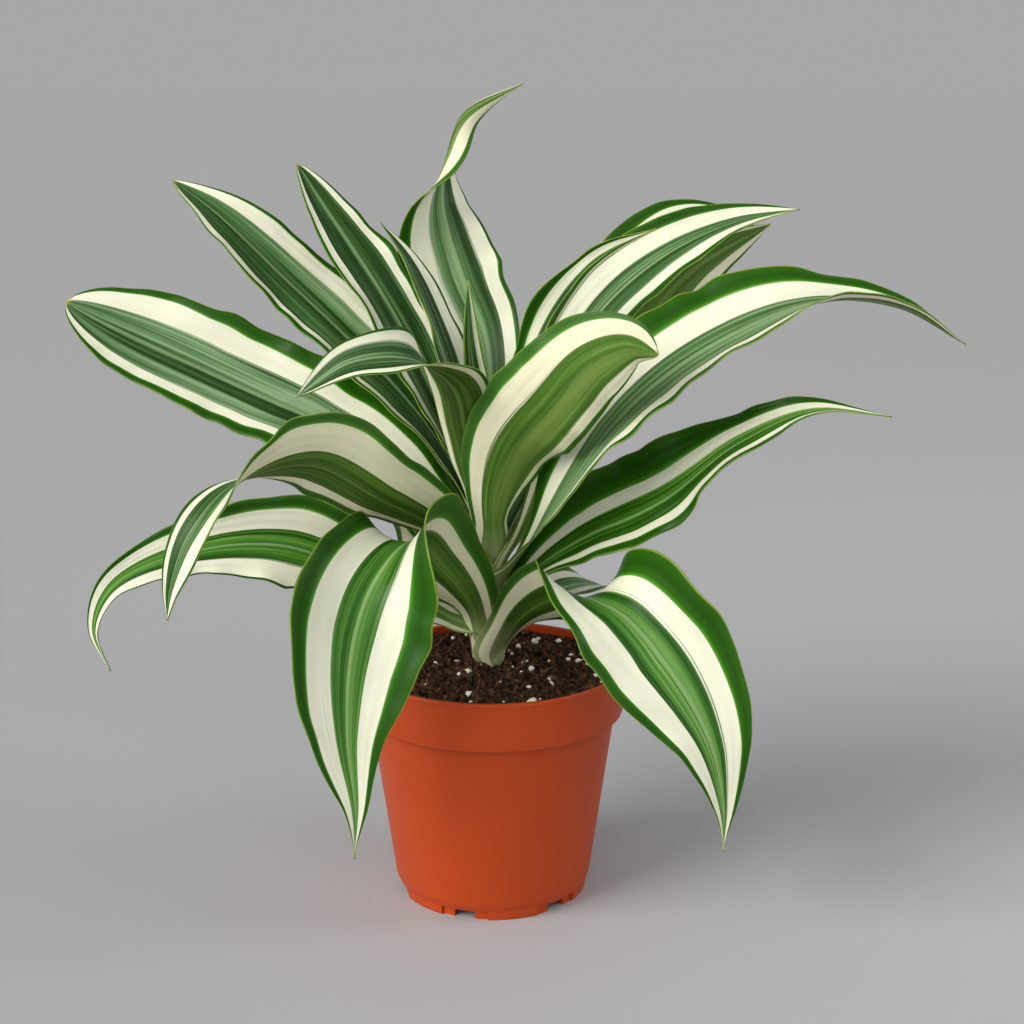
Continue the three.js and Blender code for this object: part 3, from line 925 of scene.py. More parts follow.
@dataclass(frozen=True)
class Leaf:
    """One strap leaf: a curved midrib, a turning blade, and stripes that run its whole length.

    Left and right are the blade's own, seen from above with its tip pointing away. The four band
    borders are shares of the half width, from -1 at the left edge to 1 at the right edge. Roll and
    cup are read at even steps from foot to tip. The roll turns the blade about its midrib. The cup is
    how steeply a half rises, and the right half follows the left one where none is given for it. The
    wave is the ripple's height, length and phase, and the tip is how full and how pointed the end is.
    """

    name: str
    azimuth: float | None
    height: float
    width: float
    widest: float
    midrib: tuple[Point, ...]
    bands: tuple[float, float, float, float]
    roll: tuple[float, ...] = (0.0, 0.0, 0.0)
    cup: tuple[float, ...] = (20, 15, 10, 10, 20)
    cup_right: tuple[float, ...] = ()
    wave: tuple[float, float, float] = (1.5, 60, 0)
    tip: tuple[float, float] = (1.7, 1.0)
    foot_share: float = 0.16
    growth: float = 1.2
    sheath: float = 7.0
    vigour: float = 0.2
    tone: float = 0.0


@dataclass(frozen=True)
class Course:
    """A leaf's way through space, row by row, with its blade's directions.

    The share runs from 0 at the foot to 1 at the tip and is below 0 in the sheath. The clasp is 1
    where the blade hugs the stem and 0 where it is free. The depth grows from 0 at the foot to 1 at
    the sheath's lower end.
    """

    path: Array
    side: Array
    up: Array
    shares: Array
    clasp: Array
    depth: Array
    length: float


@dataclass(frozen=True)
class Foliage:
    """All the leaves, with the sizes that they share.

    Below its foot a blade goes on as a sheath, which hugs the stem and narrows with depth. Its margins
    ripple and frill, its outline drifts in and out, a groove marks its midrib, and low pleats run along
    it. The sizes of the bands and of the outline's drift are shares of the half width, and what names
    a place along the blade is a share of its length.
    """

    leaves: tuple[Leaf, ...]
    stem: Stem
    thickness: float = 0.6
    seat: float = 0.95
    sheath_seat: float = 0.25
    sheath_half_width: float = 15.0
    sheath_width_parts: float = 3.6
    sheath_reach: float = 34.0
    sheath_hug: float = 0.6
    sheath_narrowing: float = 0.5
    sheath_join: float = 4.0
    rows: int = 156
    columns: int = 36
    path_samples: int = 401
    tip_half_width: float = 0.4
    slender_half_width: float = 12.0
    cup_at_rib: float = 0.25
    cup_over_half: float = 1.5
    least_bend: float = 1e-4
    edge_phase: float = 1.9
    wave_power: int = 2
    frill: float = 1.4
    frill_wave: float = 17.0
    frill_power: int = 4
    outline_drift: float = 0.045
    outline_wave: float = 22.0
    groove: float = 0.35
    groove_width: float = 2.5
    pleat: float = 0.14
    pleats: float = 4.5
    least_band: float = 0.05
    band_drift: float = 0.035
    band_swings: float = 3.0
    band_steps: int = 5
    band_step: float = 0.022
    band_step_reach: float = 0.035
    band_step_places: Range = (0.1, 0.9)
    margin_taper: float = 0.5
    margin_taper_from: float = 0.45
    seed: int = 5
    seeds_a_leaf: int = 100
    pattern_shift: float = 7.31

    def foot(self, leaf: Leaf) -> Point:
        """Finds where a leaf leaves the stem.

        Args:
            leaf: The leaf.

        Returns:
            The place, on the stem's axis for a leaf that rises from its top.
        """
        if leaf.azimuth is None:
            return self.stem.x, self.stem.y, leaf.height
        reach = self.stem.radius(leaf.height) + self.seat
        turn = math.radians(leaf.azimuth)
        x = self.stem.x + reach * math.cos(turn)
        y = self.stem.y + reach * math.sin(turn)
        return x, y, leaf.height

    def sheath_end(self, leaf: Leaf, foot: Array) -> Array:
        """Finds the lower end of a leaf's sheath, close to the stem.

        Args:
            leaf: The leaf.
            foot: Where the leaf leaves the stem.

        Returns:
            The place.
        """
        end = foot - (0.0, 0.0, leaf.sheath)
        if leaf.azimuth is not None:
            axis = np.array([self.stem.x, self.stem.y])
            reach = self.stem.radius(float(end[2])) + self.sheath_seat
            end[:2] = axis + unit(foot[:2] - axis) * reach
        return end

    def carried(self, leaf: Leaf) -> Course:
        """Carries a frame up the stem with the sheath and on along the midrib.

        Args:
            leaf: The leaf.

        Returns:
            The leaf's course.
        """
        foot = np.array(self.foot(leaf))
        points = (tuple(self.sheath_end(leaf, foot)), tuple(foot), *leaf.midrib)
        even = np.linspace(0, 1, self.path_samples)
        steps = np.linalg.norm(np.diff(smooth_path(points, even), axis=0), axis=1)
        gone = np.concatenate([[0], np.cumsum(steps)])
        below = float(np.interp(1 / (len(points) - 1), even, gone))
        length = float(gone[-1]) - below
        way = np.linspace(0, gone[-1], self.rows + 1)
        path = smooth_path(points, np.interp(way, gone, even))
        shares = (way - below) / length
        ahead = unit(np.gradient(path, axis=0))
        normal = np.array([self.stem.x - path[0, 0], self.stem.y - path[0, 1], 0.0])
        if leaf.azimuth is None:
            normal = np.array([0.0, -1.0, 0.0])
        normals = []
        for direction in ahead:
            normal = unit(normal - direction * (direction @ normal))
            normals.append(normal)
        faces = np.array(normals)
        sides = np.cross(ahead, faces)
        turn = np.radians(smooth_value(leaf.roll, shares))[:, None]
        side = sides * np.cos(turn) + faces * np.sin(turn)
        up = faces * np.cos(turn) - sides * np.sin(turn)
        clasp = eased(np.clip(1 - (shares * length) / self.sheath_reach, 0, 1))
        depth = np.clip(-shares * length / below, 0, 1)
        return Course(path, side, up, shares, clasp, depth, length)

    def half_widths(self, leaf: Leaf, course: Course) -> Array:
        """Works out a blade's half width, never narrower than its sheath near the stem.

        Args:
            leaf: The leaf.
            course: The leaf's course.

        Returns:
            The half width at each row.
        """
        shares = np.clip(course.shares, 0, 1)
        grown = np.sin(np.pi / 2 * np.clip(shares / leaf.widest, 0, 1)) ** leaf.growth
        rise = leaf.foot_share + (1 - leaf.foot_share) * grown
        past = np.clip((shares - leaf.widest) / (1 - leaf.widest), 0, 1)
        fullness, point = leaf.tip
        fall = np.clip(1 - past**fullness, 0, 1) ** point
        own = np.maximum(leaf.width / 2 * np.where(shares < leaf.widest, rise, fall), self.tip_half_width)
        if leaf.azimuth is None:
            return own
        sheath = min(self.sheath_half_width, leaf.width / self.sheath_width_parts) * course.clasp
        sheath = sheath * (1 - self.sheath_narrowing * course.depth)
        return (own**self.sheath_join + sheath**self.sheath_join) ** (1 / self.sheath_join)

    def half_blade(
        self, leaf: Leaf, course: Course, half: Array, across: float, chance: random.Random
    ) -> tuple[Array, Array]:
        """Shapes one lengthwise line of a blade.

        Args:
            leaf: The leaf.
            course: The leaf's course.
            half: The half width at each row.
            across: The line's place, from -1 to 1.
            chance: A source seeded for this side of the leaf.

        Returns:
            How far the line lies to the side, and how far it is lifted, at each row.
        """
        rows, length, clasp = np.clip(course.shares, 0, 1), course.length, course.clasp
        share = abs(across)
        on_right = across >= 0
        cups = leaf.cup_right if on_right and leaf.cup_right else leaf.cup
        cup = np.radians(smooth_value(cups, rows)) * (1 - clasp)
        height = np.minimum(course.path[:, 2], self.stem.top)
        girth = np.interp(height, self.stem.heights, self.stem.radii) + self.seat
        start = self.cup_at_rib * cup
        hug = self.sheath_hug + (1 - self.sheath_hug) * course.depth
        bend = self.cup_over_half * cup + hug * half / girth * clasp
        bend = np.where(np.abs(bend) < self.least_bend, self.least_bend, bend)
        turn = start + bend * share
        uneven = self.outline_drift * drift(chance, rows, length / self.outline_wave)
        edge = 1 + uneven * share**self.wave_power
        out = half * edge * (np.sin(turn) - np.sin(start)) / bend
        lift = half * (np.cos(start) - np.cos(turn)) / bend
        rise, wave_length, phase = leaf.wave
        swing = math.tau * rows * length / wave_length + phase
        swing = swing + (0.0 if on_right else self.edge_phase)
        slender = np.minimum(1, half / self.slender_half_width)
        calm = np.sin(math.pi * rows)
        lift = lift + rise * calm * share**self.wave_power * np.sin(swing) * slender
        frill = drift(chance, rows, length / self.frill_wave)
        lift = lift + self.frill * calm * share**self.frill_power * frill * slender
        crease = np.exp(-((share * half / self.groove_width) ** 2)) * (1 - clasp)
        lift = lift - self.groove * slender * crease
        lift = lift + self.pleat * slender * calm * np.cos(math.tau * self.pleats * across)
        return (out if on_right else -out), lift

    def band_lines(self, leaf: Leaf, rows: Array, chance: random.Random) -> list[Array]:
        """Draws the borders of a blade's stripes, which drift, step and close in on the tip.

        Args:
            leaf: The leaf.
            rows: The share of the length of each row.
            chance: A source seeded for this leaf.

        Returns:
            Each border's place at each row, from -1 to 1.
        """
        lines = []
        toward_tip = np.clip((rows - self.margin_taper_from) / (1 - self.margin_taper_from), 0, 1)
        for index, border in enumerate(leaf.bands):
            line = border + self.band_drift * drift(chance, rows, self.band_swings)
            if index in (0, len(leaf.bands) - 1):
                room = math.copysign(1 - abs(border), border)
                line = line + self.margin_taper * room * toward_tip
            for _ in range(self.band_steps):
                step = chance.uniform(-1, 1) * self.band_step
                past = (rows - chance.uniform(*self.band_step_places)) / self.band_step_reach
                line = line + step * np.clip(past, 0, 1)
            lines.append(line)
        return lines

    def band_places(self, lines: Sequence[Array], across: Array) -> Array:
        """Lays a blade's own stripe borders on the shared ones.

        Args:
            lines: Each border's place at each row, from -1 to 1.
            across: The place of each column, from -1 to 1.

        Returns:
            A place from 0 to 1 for each row and column.
        """
        shared = (0.0, *BAND_BORDERS, 1.0)
        places = []
        for borders in zip(*lines):
            own = [-1.0]
            for index, border in enumerate(borders):
                highest = 1.0 - self.least_band * (len(borders) - index)
                own.append(min(max(float(border), own[-1] + self.least_band), highest))
            own.append(1.0)
            places.append(np.interp(across, own, shared))
        return np.array(places)

    def sheet(self, leaf: Leaf, number: int, course: Course, across: Array) -> Array:
        """Shapes a whole blade as one thin sheet.

        Args:
            leaf: The leaf.
            number: Its number, which seeds its variation.
            course: The leaf's course.
            across: The place of each column, from -1 to 1.

        Returns:
            A point for each row and column.
        """
        half = self.half_widths(leaf, course)
        lines = []
        for place in across:
            chance = random.Random(self.seed + self.seeds_a_leaf * number + int(place >= 0))
            out, lift = self.half_blade(leaf, course, half, float(place), chance)
            lines.append(course.path + course.side * out[:, None] + course.up * lift[:, None])
        return np.stack(lines, axis=1)

    def mark(self, piece: Piece, bands: Array, along: Array, marks: Sequence[float]) -> None:
        """Writes where each point lies among the stripes, and what the finish knows of the leaf.

        Args:
            piece: The blade, still one sheet.
            bands: The place across of each vertex.
            along: The place along of each vertex.
            marks: The leaf's values, in the order of LEAF_MARKS.
        """
        mesh = piece.data
        corners = np.empty(len(mesh.loops), dtype=np.int32)
        mesh.loops.foreach_get("vertex_index", corners)
        layer = mesh.uv_layers.new(name=BAND_MAP)
        places = np.stack([bands[corners], along[corners]], axis=1)
        layer.uv.foreach_set("vector", places.ravel())
        for name, value in zip(LEAF_MARKS, marks):
            attribute = mesh.attributes.new(name, "FLOAT", "POINT")
            attribute.data.foreach_set("value", np.full(len(mesh.vertices), value))

    def build_leaf(self, leaf: Leaf, number: int, coats: Sequence[bpy.types.Material]) -> Piece:
        """Shapes, stripes and thickens one leaf from a flat grid.

        Args:
            leaf: The leaf.
            number: Its number, which seeds its variation.
            coats: The materials in the order of Coat.

        Returns:
            The finished piece.
        """
        piece = start_piece(
            bpy.ops.mesh.primitive_grid_add,
            f"{leaf.name}_blade",
            x_subdivisions=self.columns,
            y_subdivisions=self.rows,
            size=2,
            calc_uvs=False,
        )
        flat = vertices_of(piece)
        # The flat grid reaches from -1 to 1 both ways.
        column = np.rint((flat[:, 0] + 1) / 2 * self.columns).astype(int)
        row = np.rint((flat[:, 1] + 1) / 2 * self.rows).astype(int)
        across = np.linspace(-1, 1, self.columns + 1)
        course = self.carried(leaf)
        move_vertices(piece, self.sheet(leaf, number, course, across)[row, column] * MM)
        chance = random.Random(self.seed + number)
        lines = self.band_lines(leaf, np.clip(course.shares, 0, 1), chance)
        bands = self.band_places(lines, across)
        marks = (number * self.pattern_shift, leaf.vigour, leaf.tone)
        self.mark(piece, bands[row, column], course.shares[row], marks)
        for coat in coats:
            piece.data.materials.append(coat)
        apply_modifier(
            piece,
            "SOLIDIFY",
            thickness=self.thickness * MM,
            offset=0.0,
            material_offset=Coat.UNDER.value,
            material_offset_rim=Coat.RIM.value,
        )
        bpy.ops.object.shade_smooth()
        hand_over(piece, leaf.name)
        return piece

    def build(self) -> list[Piece]:
        """Builds every leaf.

        Returns:
            The finished pieces.
        """
        coats = (UPPER_FACE.material(), UNDER_FACE.material(), LEAF_RIM.material())
        return [self.build_leaf(leaf, n, coats) for n, leaf in enumerate(self.leaves)]


# ---------------------------------------------------------------------------------------------------
# Pot
# ---------------------------------------------------------------------------------------------------


@dataclass(frozen=True)
class Sector:
    """A drainage cut: part of a ring about the pot's axis, between two radii and two heights."""

    inner: float
    outer: float
    low: float
    high: float
    span: float


@dataclass(frozen=True)
class NurseryPot:
    """A tapered moulded pot with a deep collar, a rolled lip and a notched foot ring.

    At each drain the foot ring is set back, cut through, and opened to the floor inside.
    """

    height: float = 116.0
    rim_radius: float = 65.0
    lip: float = 2.2
    lip_step: float = 0.3
    lip_inner: float = 62.8
    lip_depth: float = 4.0
    lip_draft: float = 0.1
    collar_radius: float = 64.0
    collar_foot: float = 92.0
    collar_inner_foot: float = 95.0
    collar_inner: float = 62.3
    collar_draft: float = 0.1
    body_top: float = 60.3
    body_foot: float = 48.0
    shoulder: float = 7.4
    wall: float = 1.8
    wall_top: float = 91.0
    wall_foot: float = 9.7
    floor_top: float = 7.2
    floor_cove: float = 2.0
    foot_height: float = 5.0
    foot_ring: float = 46.9
    foot_inner: float = 43.0
    foot_draft: Range = (0.4, 0.6)
    fillet_steps: int = 4
    segments: int = 192
    drains: tuple[float, ...] = (253, 313, 13, 73, 133, 193)
    cuts: tuple[Sector, ...] = (
        Sector(inner=45.2, outer=51.6, low=-1.0, high=4.6, span=29.0),
        Sector(inner=36.9, outer=51.6, low=-2.0, high=4.4, span=13.0),
        Sector(inner=37.0, outer=42.4, low=4.0, high=8.2, span=13.0),
    )
    cut_steps: int = 8
    smooth_angle: float = 32.0

    def body_radius(self, height: float) -> float:
        """The tapered body's outer radius at a height."""
        rise = (height - self.foot_height) / (self.collar_foot - self.foot_height)
        return self.body_foot + (self.body_top - self.body_foot) * rise

    def outline(self) -> list[RadiusHeight]:
        """Draws the pot's section: the foot, up the outside, over the lip and down the inside.

        Returns:
            Its points as radius and height, with every corner rounded.
        """
        outer_draft, inner_draft = self.foot_draft
        under_lip = self.height - self.lip
        corners = (
            (0.0, self.foot_height, 0.0),
            (self.foot_inner, self.foot_height, 0.5),
            (self.foot_inner + inner_draft, 0.0, 0.5),
            (self.foot_ring - outer_draft, 0.0, 0.7),
            (self.foot_ring, self.foot_height, 0.3),
            (self.body_radius(self.shoulder), self.shoulder, 1.2),
            (self.body_top, self.collar_foot - self.collar_draft, 0.35),
            (self.collar_radius, self.collar_foot, 1.1),
            (self.rim_radius - self.lip_step, under_lip, 0.25),
            (self.rim_radius, under_lip + self.lip_step, 0.3),
            (self.rim_radius - self.lip_draft, self.height, 0.9),
            (self.lip_inner, self.height, 0.9),
            (self.lip_inner + self.lip_draft, self.height - self.lip_depth, 1.0),
            (self.collar_inner, self.collar_inner_foot, 1.0),
            (self.body_radius(self.wall_top) - self.wall, self.wall_top, 1.0),
            (self.body_radius(self.wall_foot) - self.wall, self.wall_foot, 1.0),
            (self.body_radius(self.floor_top) - self.wall - self.floor_cove, self.floor_top, 0.5),
            (0.0, self.floor_top, 0.0),
        )
        return filleted(corners, self.fillet_steps)

    def cutter(self, cut: Sector, azimuth: float) -> Piece:
        """Spins a rectangle round part of the axis to a tool for one drainage cut.

        Args:
            cut: The cut's sizes.
            azimuth: The middle of the cut, seen from above.

        Returns:
            The closed tool.
        """
        middle = ((cut.inner + cut.outer) / 2 * MM, 0.0, (cut.low + cut.high) / 2 * MM)
        upright = (math.pi / 2, 0, 0)
        tool = start_piece(
            bpy.ops.mesh.primitive_plane_add, "drain_cutter", size=MM, location=middle, rotation=upright
        )
        bpy.ops.object.mode_set(mode="EDIT")
        bpy.ops.mesh.select_all(action="SELECT")
        spread = (cut.outer - cut.inner, 1.0, cut.high - cut.low)
        bpy.ops.transform.resize(value=spread, center_override=middle)
        turn = math.radians(cut.span)
        bpy.ops.mesh.spin(steps=self.cut_steps, angle=turn, center=(0, 0, 0), axis=(0, 0, 1))
        weld()
        bpy.ops.object.mode_set(mode="OBJECT")
        places = vertices_of(tool)
        turned = np.degrees(np.arctan2(places[:, 1], places[:, 0]))
        start = azimuth - (turned.min() + turned.max()) / 2
        tool.data.transform(Matrix.Rotation(math.radians(start), 4, "Z"))
        return tool

    def build(self) -> Piece:
        """Builds and dresses the pot.

        Returns:
            The finished piece.
        """
        piece = spun_body("pot_moulded", self.outline(), self.segments)
        for cut in self.cuts:
            tool = join_pieces([self.cutter(cut, azimuth) for azimuth in self.drains], "drain_cutters")
            apply_modifier(piece, "BOOLEAN", operation="DIFFERENCE", solver="EXACT", object=tool)
            bpy.data.objects.remove(tool)
        choose(piece)
        bpy.ops.object.shade_smooth_by_angle(angle=math.radians(self.smooth_angle))
        piece.data.materials.append(POT_PLASTIC.material())
        hand_over(piece, "pot")
        return piece


# ---------------------------------------------------------------------------------------------------
# Soil
# ---------------------------------------------------------------------------------------------------


class Grain(Enum):
    """What lies loose on the potting mix."""

    CRUMB = "soil_crumbs"
    CHIP = "soil_bark_chips"
    FIBRE = "soil_fibres"
    PERLITE = "soil_perlite"


@dataclass(frozen=True)
class Scatter:
    """How many grains of one kind lie on the mix, and what they are like.

    The sizes are radii, or half lengths of fibres. Rough is how far a grain's points stray from round,
    flat is its thickness as a share of its width, and sunk is how deep its middle lies as a share of
    half its thickness.
    """

    kind: Grain
    finish: PlainTone
    count: int
    sizes: Range
    subdivisions: int
    rough: float
    flat: float
    sunk: float


@dataclass(frozen=True)
class PottingMix:
    """Dark crumbly potting mix, mounded round the stem and strewn with loose grains."""

    stem: Stem
    edge_height: float = 112.0
    edge_radius: float = 62.4
    edge_calm: float = 3.0
    mound: float = 3.2
    mound_radius: float = 26.0
    clods: float = 3.4
    clod_size: float = 8.0
    clod_level: float = 3.0
    crumble: float = 3.2
    crumble_size: float = 3.6
    crumble_level: float = 9.0
    crumble_mean: float = 0.7
    octaves: int = 3
    octave_fade: float = 1.0
    octave_step: float = 2.0
    rings: int = 96
    segments: int = 300
    sides: tuple[RadiusHeight, ...] = ((62.0, 95.2), (58.0, 91.0), (46.4, 9.9), (44.0, 7.5), (0.0, 7.5))
    top_tolerance: float = 0.01
    smooth_angle: float = 50.0
    scatters: tuple[Scatter, ...] = (
        Scatter(Grain.CRUMB, PEAT, 900, (0.6, 2.8), subdivisions=2, rough=0.3, flat=0.85, sunk=0.2),
        Scatter(Grain.CHIP, BARK, 190, (0.8, 2.4), subdivisions=1, rough=0.45, flat=0.5, sunk=0.1),
        Scatter(Grain.FIBRE, BARK, 80, (2.5, 5.0), subdivisions=1, rough=0.2, flat=0.08, sunk=0.0),
        Scatter(Grain.PERLITE, PERLITE, 130, (0.5, 2.4), subdivisions=2, rough=0.16, flat=0.9, sunk=0.2),
    )
    models: int = 6
    fibre_arch: float = 0.25
    wall_room: float = 1.5
    stem_room: float = 1.0
    size_power: float = 2.2
    lean: float = 0.5
    seed: int = 71

    def height(self, x: float, y: float) -> float:
        """Works out the height of the mix's top.

        Args:
            x: The place from left to right, in millimetres.
            y: The place from front to back, in millimetres.

        Returns:
            The height, in millimetres.
        """
        far = math.hypot(x - self.stem.x, y - self.stem.y)
        rise = self.mound * math.exp(-((far / self.mound_radius) ** 2))
        clod_place = Vector((x, y, self.clod_level)) / self.clod_size
        clod = noise.fractal(clod_place, self.octave_fade, self.octave_step, self.octaves)
        crumb_place = Vector((x, y, self.crumble_level)) / self.crumble_size
        crumb = noise.turbulence(crumb_place, self.octaves, True)
        edge = min(1.0, max(0.0, (self.edge_radius - math.hypot(x, y)) / self.edge_calm))
        relief = self.clods * clod + self.crumble * (crumb - self.crumble_mean)
        return self.edge_height + rise + relief * edge

    def body(self) -> Piece:
        """Builds the filling: a crumbly top over plain sides and a plain bottom.

        Returns:
            The filling.
        """
        top = [(self.edge_radius * i / self.rings, self.edge_height) for i in range(self.rings + 1)]
        piece = spun_body("soil_filling", (*top, *self.sides), self.segments)
        places = vertices_of(piece)
        for index in np.flatnonzero(places[:, 2] > (self.edge_height - self.top_tolerance) * MM):
            x, y = places[index, :2] / MM
            places[index, 2] = self.height(float(x), float(y)) * MM
        move_vertices(piece, places)
        choose(piece)
        bpy.ops.object.shade_smooth_by_angle(angle=math.radians(self.smooth_angle))
        piece.data.materials.append(PEAT.material())
        return piece

    def grain(self, scatter: Scatter, chance: random.Random) -> Piece:
        """Shapes one grain with a ragged surface, about one millimetre in radius.

        Args:
            scatter: The grain's kind and shape.
            chance: The seeded source.

        Returns:
            The grain, centred on the origin.
        """
        name, detail = scatter.kind.value, scatter.subdivisions
        piece = start_piece(
            bpy.ops.mesh.primitive_ico_sphere_add, name, subdivisions=detail, radius=MM
        )
        places = vertices_of(piece)
        swings = [1 + chance.uniform(-scatter.rough, scatter.rough) for _ in places]
        places *= np.array(swings)[:, None]
        places[:, 2] *= scatter.flat
        if scatter.kind is Grain.FIBRE:
            places[:, 1] *= scatter.flat
            places[:, 2] += self.fibre_arch * MM * (places[:, 0] / MM) ** 2
        move_vertices(piece, places)
        return piece

    def strewn(self, scatter: Scatter) -> Piece:
        """Strews copies of a few grains over the mix and joins them to one piece.

        Args:
            scatter: The kind of grain.

        Returns:
            The joined grains.
        """
        name = scatter.kind.value
        chance = random.Random(f"{self.seed} {name}")
        kinds = [self.grain(scatter, chance) for _ in range(self.models)]
        smallest, largest = scatter.sizes
        copies = []
        while len(copies) < scatter.count:
            reach = (self.edge_radius - self.wall_room) * math.sqrt(chance.random())
            turn = chance.uniform(0, math.tau)
            x, y = reach * math.cos(turn), reach * math.sin(turn)
            if math.hypot(x - self.stem.x, y - self.stem.y) < self.stem.radii[0] + self.stem_room:
                continue
            size = smallest + (largest - smallest) * chance.random() ** self.size_power
            lift = self.height(x, y) - size * scatter.flat * scatter.sunk
            place = Matrix.Translation(Vector((x, y, lift)) * MM)
            tilt = Matrix.Rotation(chance.uniform(-self.lean, self.lean), 4, "X")
            spin = Matrix.Rotation(chance.uniform(0, math.tau), 4, "Z")
            copy = bpy.data.objects.new(name, chance.choice(kinds).data.copy())
            copy.data.transform(place @ spin @ tilt @ Matrix.Scale(size, 4))
            bpy.context.scene.collection.objects.link(copy)
            copies.append(copy)
        for model in kinds:
            bpy.data.objects.remove(model)
        piece = join_pieces(copies, name)
        piece.data.materials.append(scatter.finish.material())
        if scatter.kind is Grain.PERLITE:
            bpy.ops.object.shade_smooth()
        return piece

    def build(self) -> list[Piece]:
        """Builds and dresses the mix and what lies on it.

        Returns:
            The finished pieces.
        """
        pieces = [self.body(), *(self.strewn(scatter) for scatter in self.scatters)]
        for piece in pieces:
            hand_over(piece, "soil")
        return pieces


# ---------------------------------------------------------------------------------------------------
# Studio
# ---------------------------------------------------------------------------------------------------


class LampKind(Enum):
    """The two kinds of studio lamp."""

    DISTANT = "SUN"
    SOFT_BOX = "AREA"


@dataclass(frozen=True)
class Lamp:
    """A soft lamp: a distant broad one that lights the whole floor evenly, or a large near panel.

    The spread is a distant lamp's angle in degrees, or the width of a panel in metres.
    """

    name: str
    kind: LampKind
    place: Point
    target: Point
    spread: float
    power: float
    colour: str

    def build(self) -> None:
        """Adds the lamp, turned to its target."""
        bpy.ops.object.light_add(type=self.kind.value, location=self.place)
        lamp = bpy.context.object
        lamp.name = self.name
        if self.kind is LampKind.DISTANT:
            lamp.data.angle = math.radians(self.spread)
        else:
            lamp.data.size = self.spread
        lamp.data.energy = self.power
        lamp.data.color = linear(self.colour)[:3]
        aim = Vector(self.target) - Vector(self.place)
        lamp.rotation_euler = aim.to_track_quat("-Z", "Y").to_euler()


@dataclass(frozen=True)
class Studio:
    """Plain pale floor, plain soft light, and the photograph's camera, in metres.

    The distant lamps light the floor evenly, so that it meets the surround with hardly a line. The
    surround's grey goes from the horizon's to the one overhead as the view turns up.
    """

    floor_size: float = 200.0
    floor_shade: str = "#b5b6ba"
    floor_roughness: float = 0.7
    surround: tuple[tuple[float, float], ...] = ((0.1, 0.388), (0.55, 0.27))
    camera_place: Point = (0.0096, -0.8416, 0.3927)
    camera_pitch: float = 13.5
    lens: float = 63.3
    lamps: tuple[Lamp, ...] = (
        Lamp("key_left", LampKind.DISTANT, (-1.5, -0.95, 1.25), (0, 0, 0.2), 40, 2.85, "#fffcf6"),
        Lamp("fill_front", LampKind.DISTANT, (0.3, -1.6, 0.4), (0, 0, 0.2), 90, 1.05, "#ffffff"),
        Lamp("glint_right", LampKind.SOFT_BOX, (0.9, -0.1, 0.75), (0, 0, 0.15), 0.35, 2.5, "#ffffff"),
    )

    def lay_floor(self) -> None:
        """Adds the floor, in pale matt paint."""
        floor = start_piece(bpy.ops.mesh.primitive_plane_add, "floor", size=self.floor_size)
        paint, tree, output = new_material("pale_matt_floor")
        surface = {"Base Color": self.floor_shade, "Roughness": self.floor_roughness}
        shader = add_node(tree, "ShaderNodeBsdfPrincipled", surface)
        tree.links.new(shader.outputs[0], output.inputs[0])
        floor.data.materials.append(paint)

    def hang_surround(self) -> None:
        """Adds the pale surround, a little darker overhead."""
        world = bpy.data.worlds.new("pale_surround")
        world.use_nodes = True
        tree = world.node_tree
        direction = add_node(tree, "ShaderNodeTexCoord").outputs["Generated"]
        height = add_node(tree, "ShaderNodeSeparateXYZ", {0: direction}).outputs[2]
        shade = add_node(tree, "ShaderNodeValToRGB", {0: height}, ramp=self.surround).outputs[0]
        tree.links.new(shade, tree.nodes["Background"].inputs["Color"])
        bpy.context.scene.world = world

    def set_camera(self) -> None:
        """Adds the camera, level from side to side and tilted down to the plant."""
        pitch = math.radians(90 - self.camera_pitch)
        bpy.ops.object.camera_add(location=self.camera_place, rotation=(pitch, 0, 0))
        camera = bpy.context.object
        camera.name = "photo_camera"
        camera.data.lens = self.lens
        bpy.context.scene.camera = camera

    def build(self) -> None:
        """Adds the floor, the light and the camera."""
        self.lay_floor()
        for lamp in self.lamps:
            lamp.build()
        self.hang_surround()
        self.set_camera()
        bpy.context.scene.view_settings.view_transform = "Standard"


# ---------------------------------------------------------------------------------------------------
# The plant's own leaves, lowest first, then those at the back
# ---------------------------------------------------------------------------------------------------

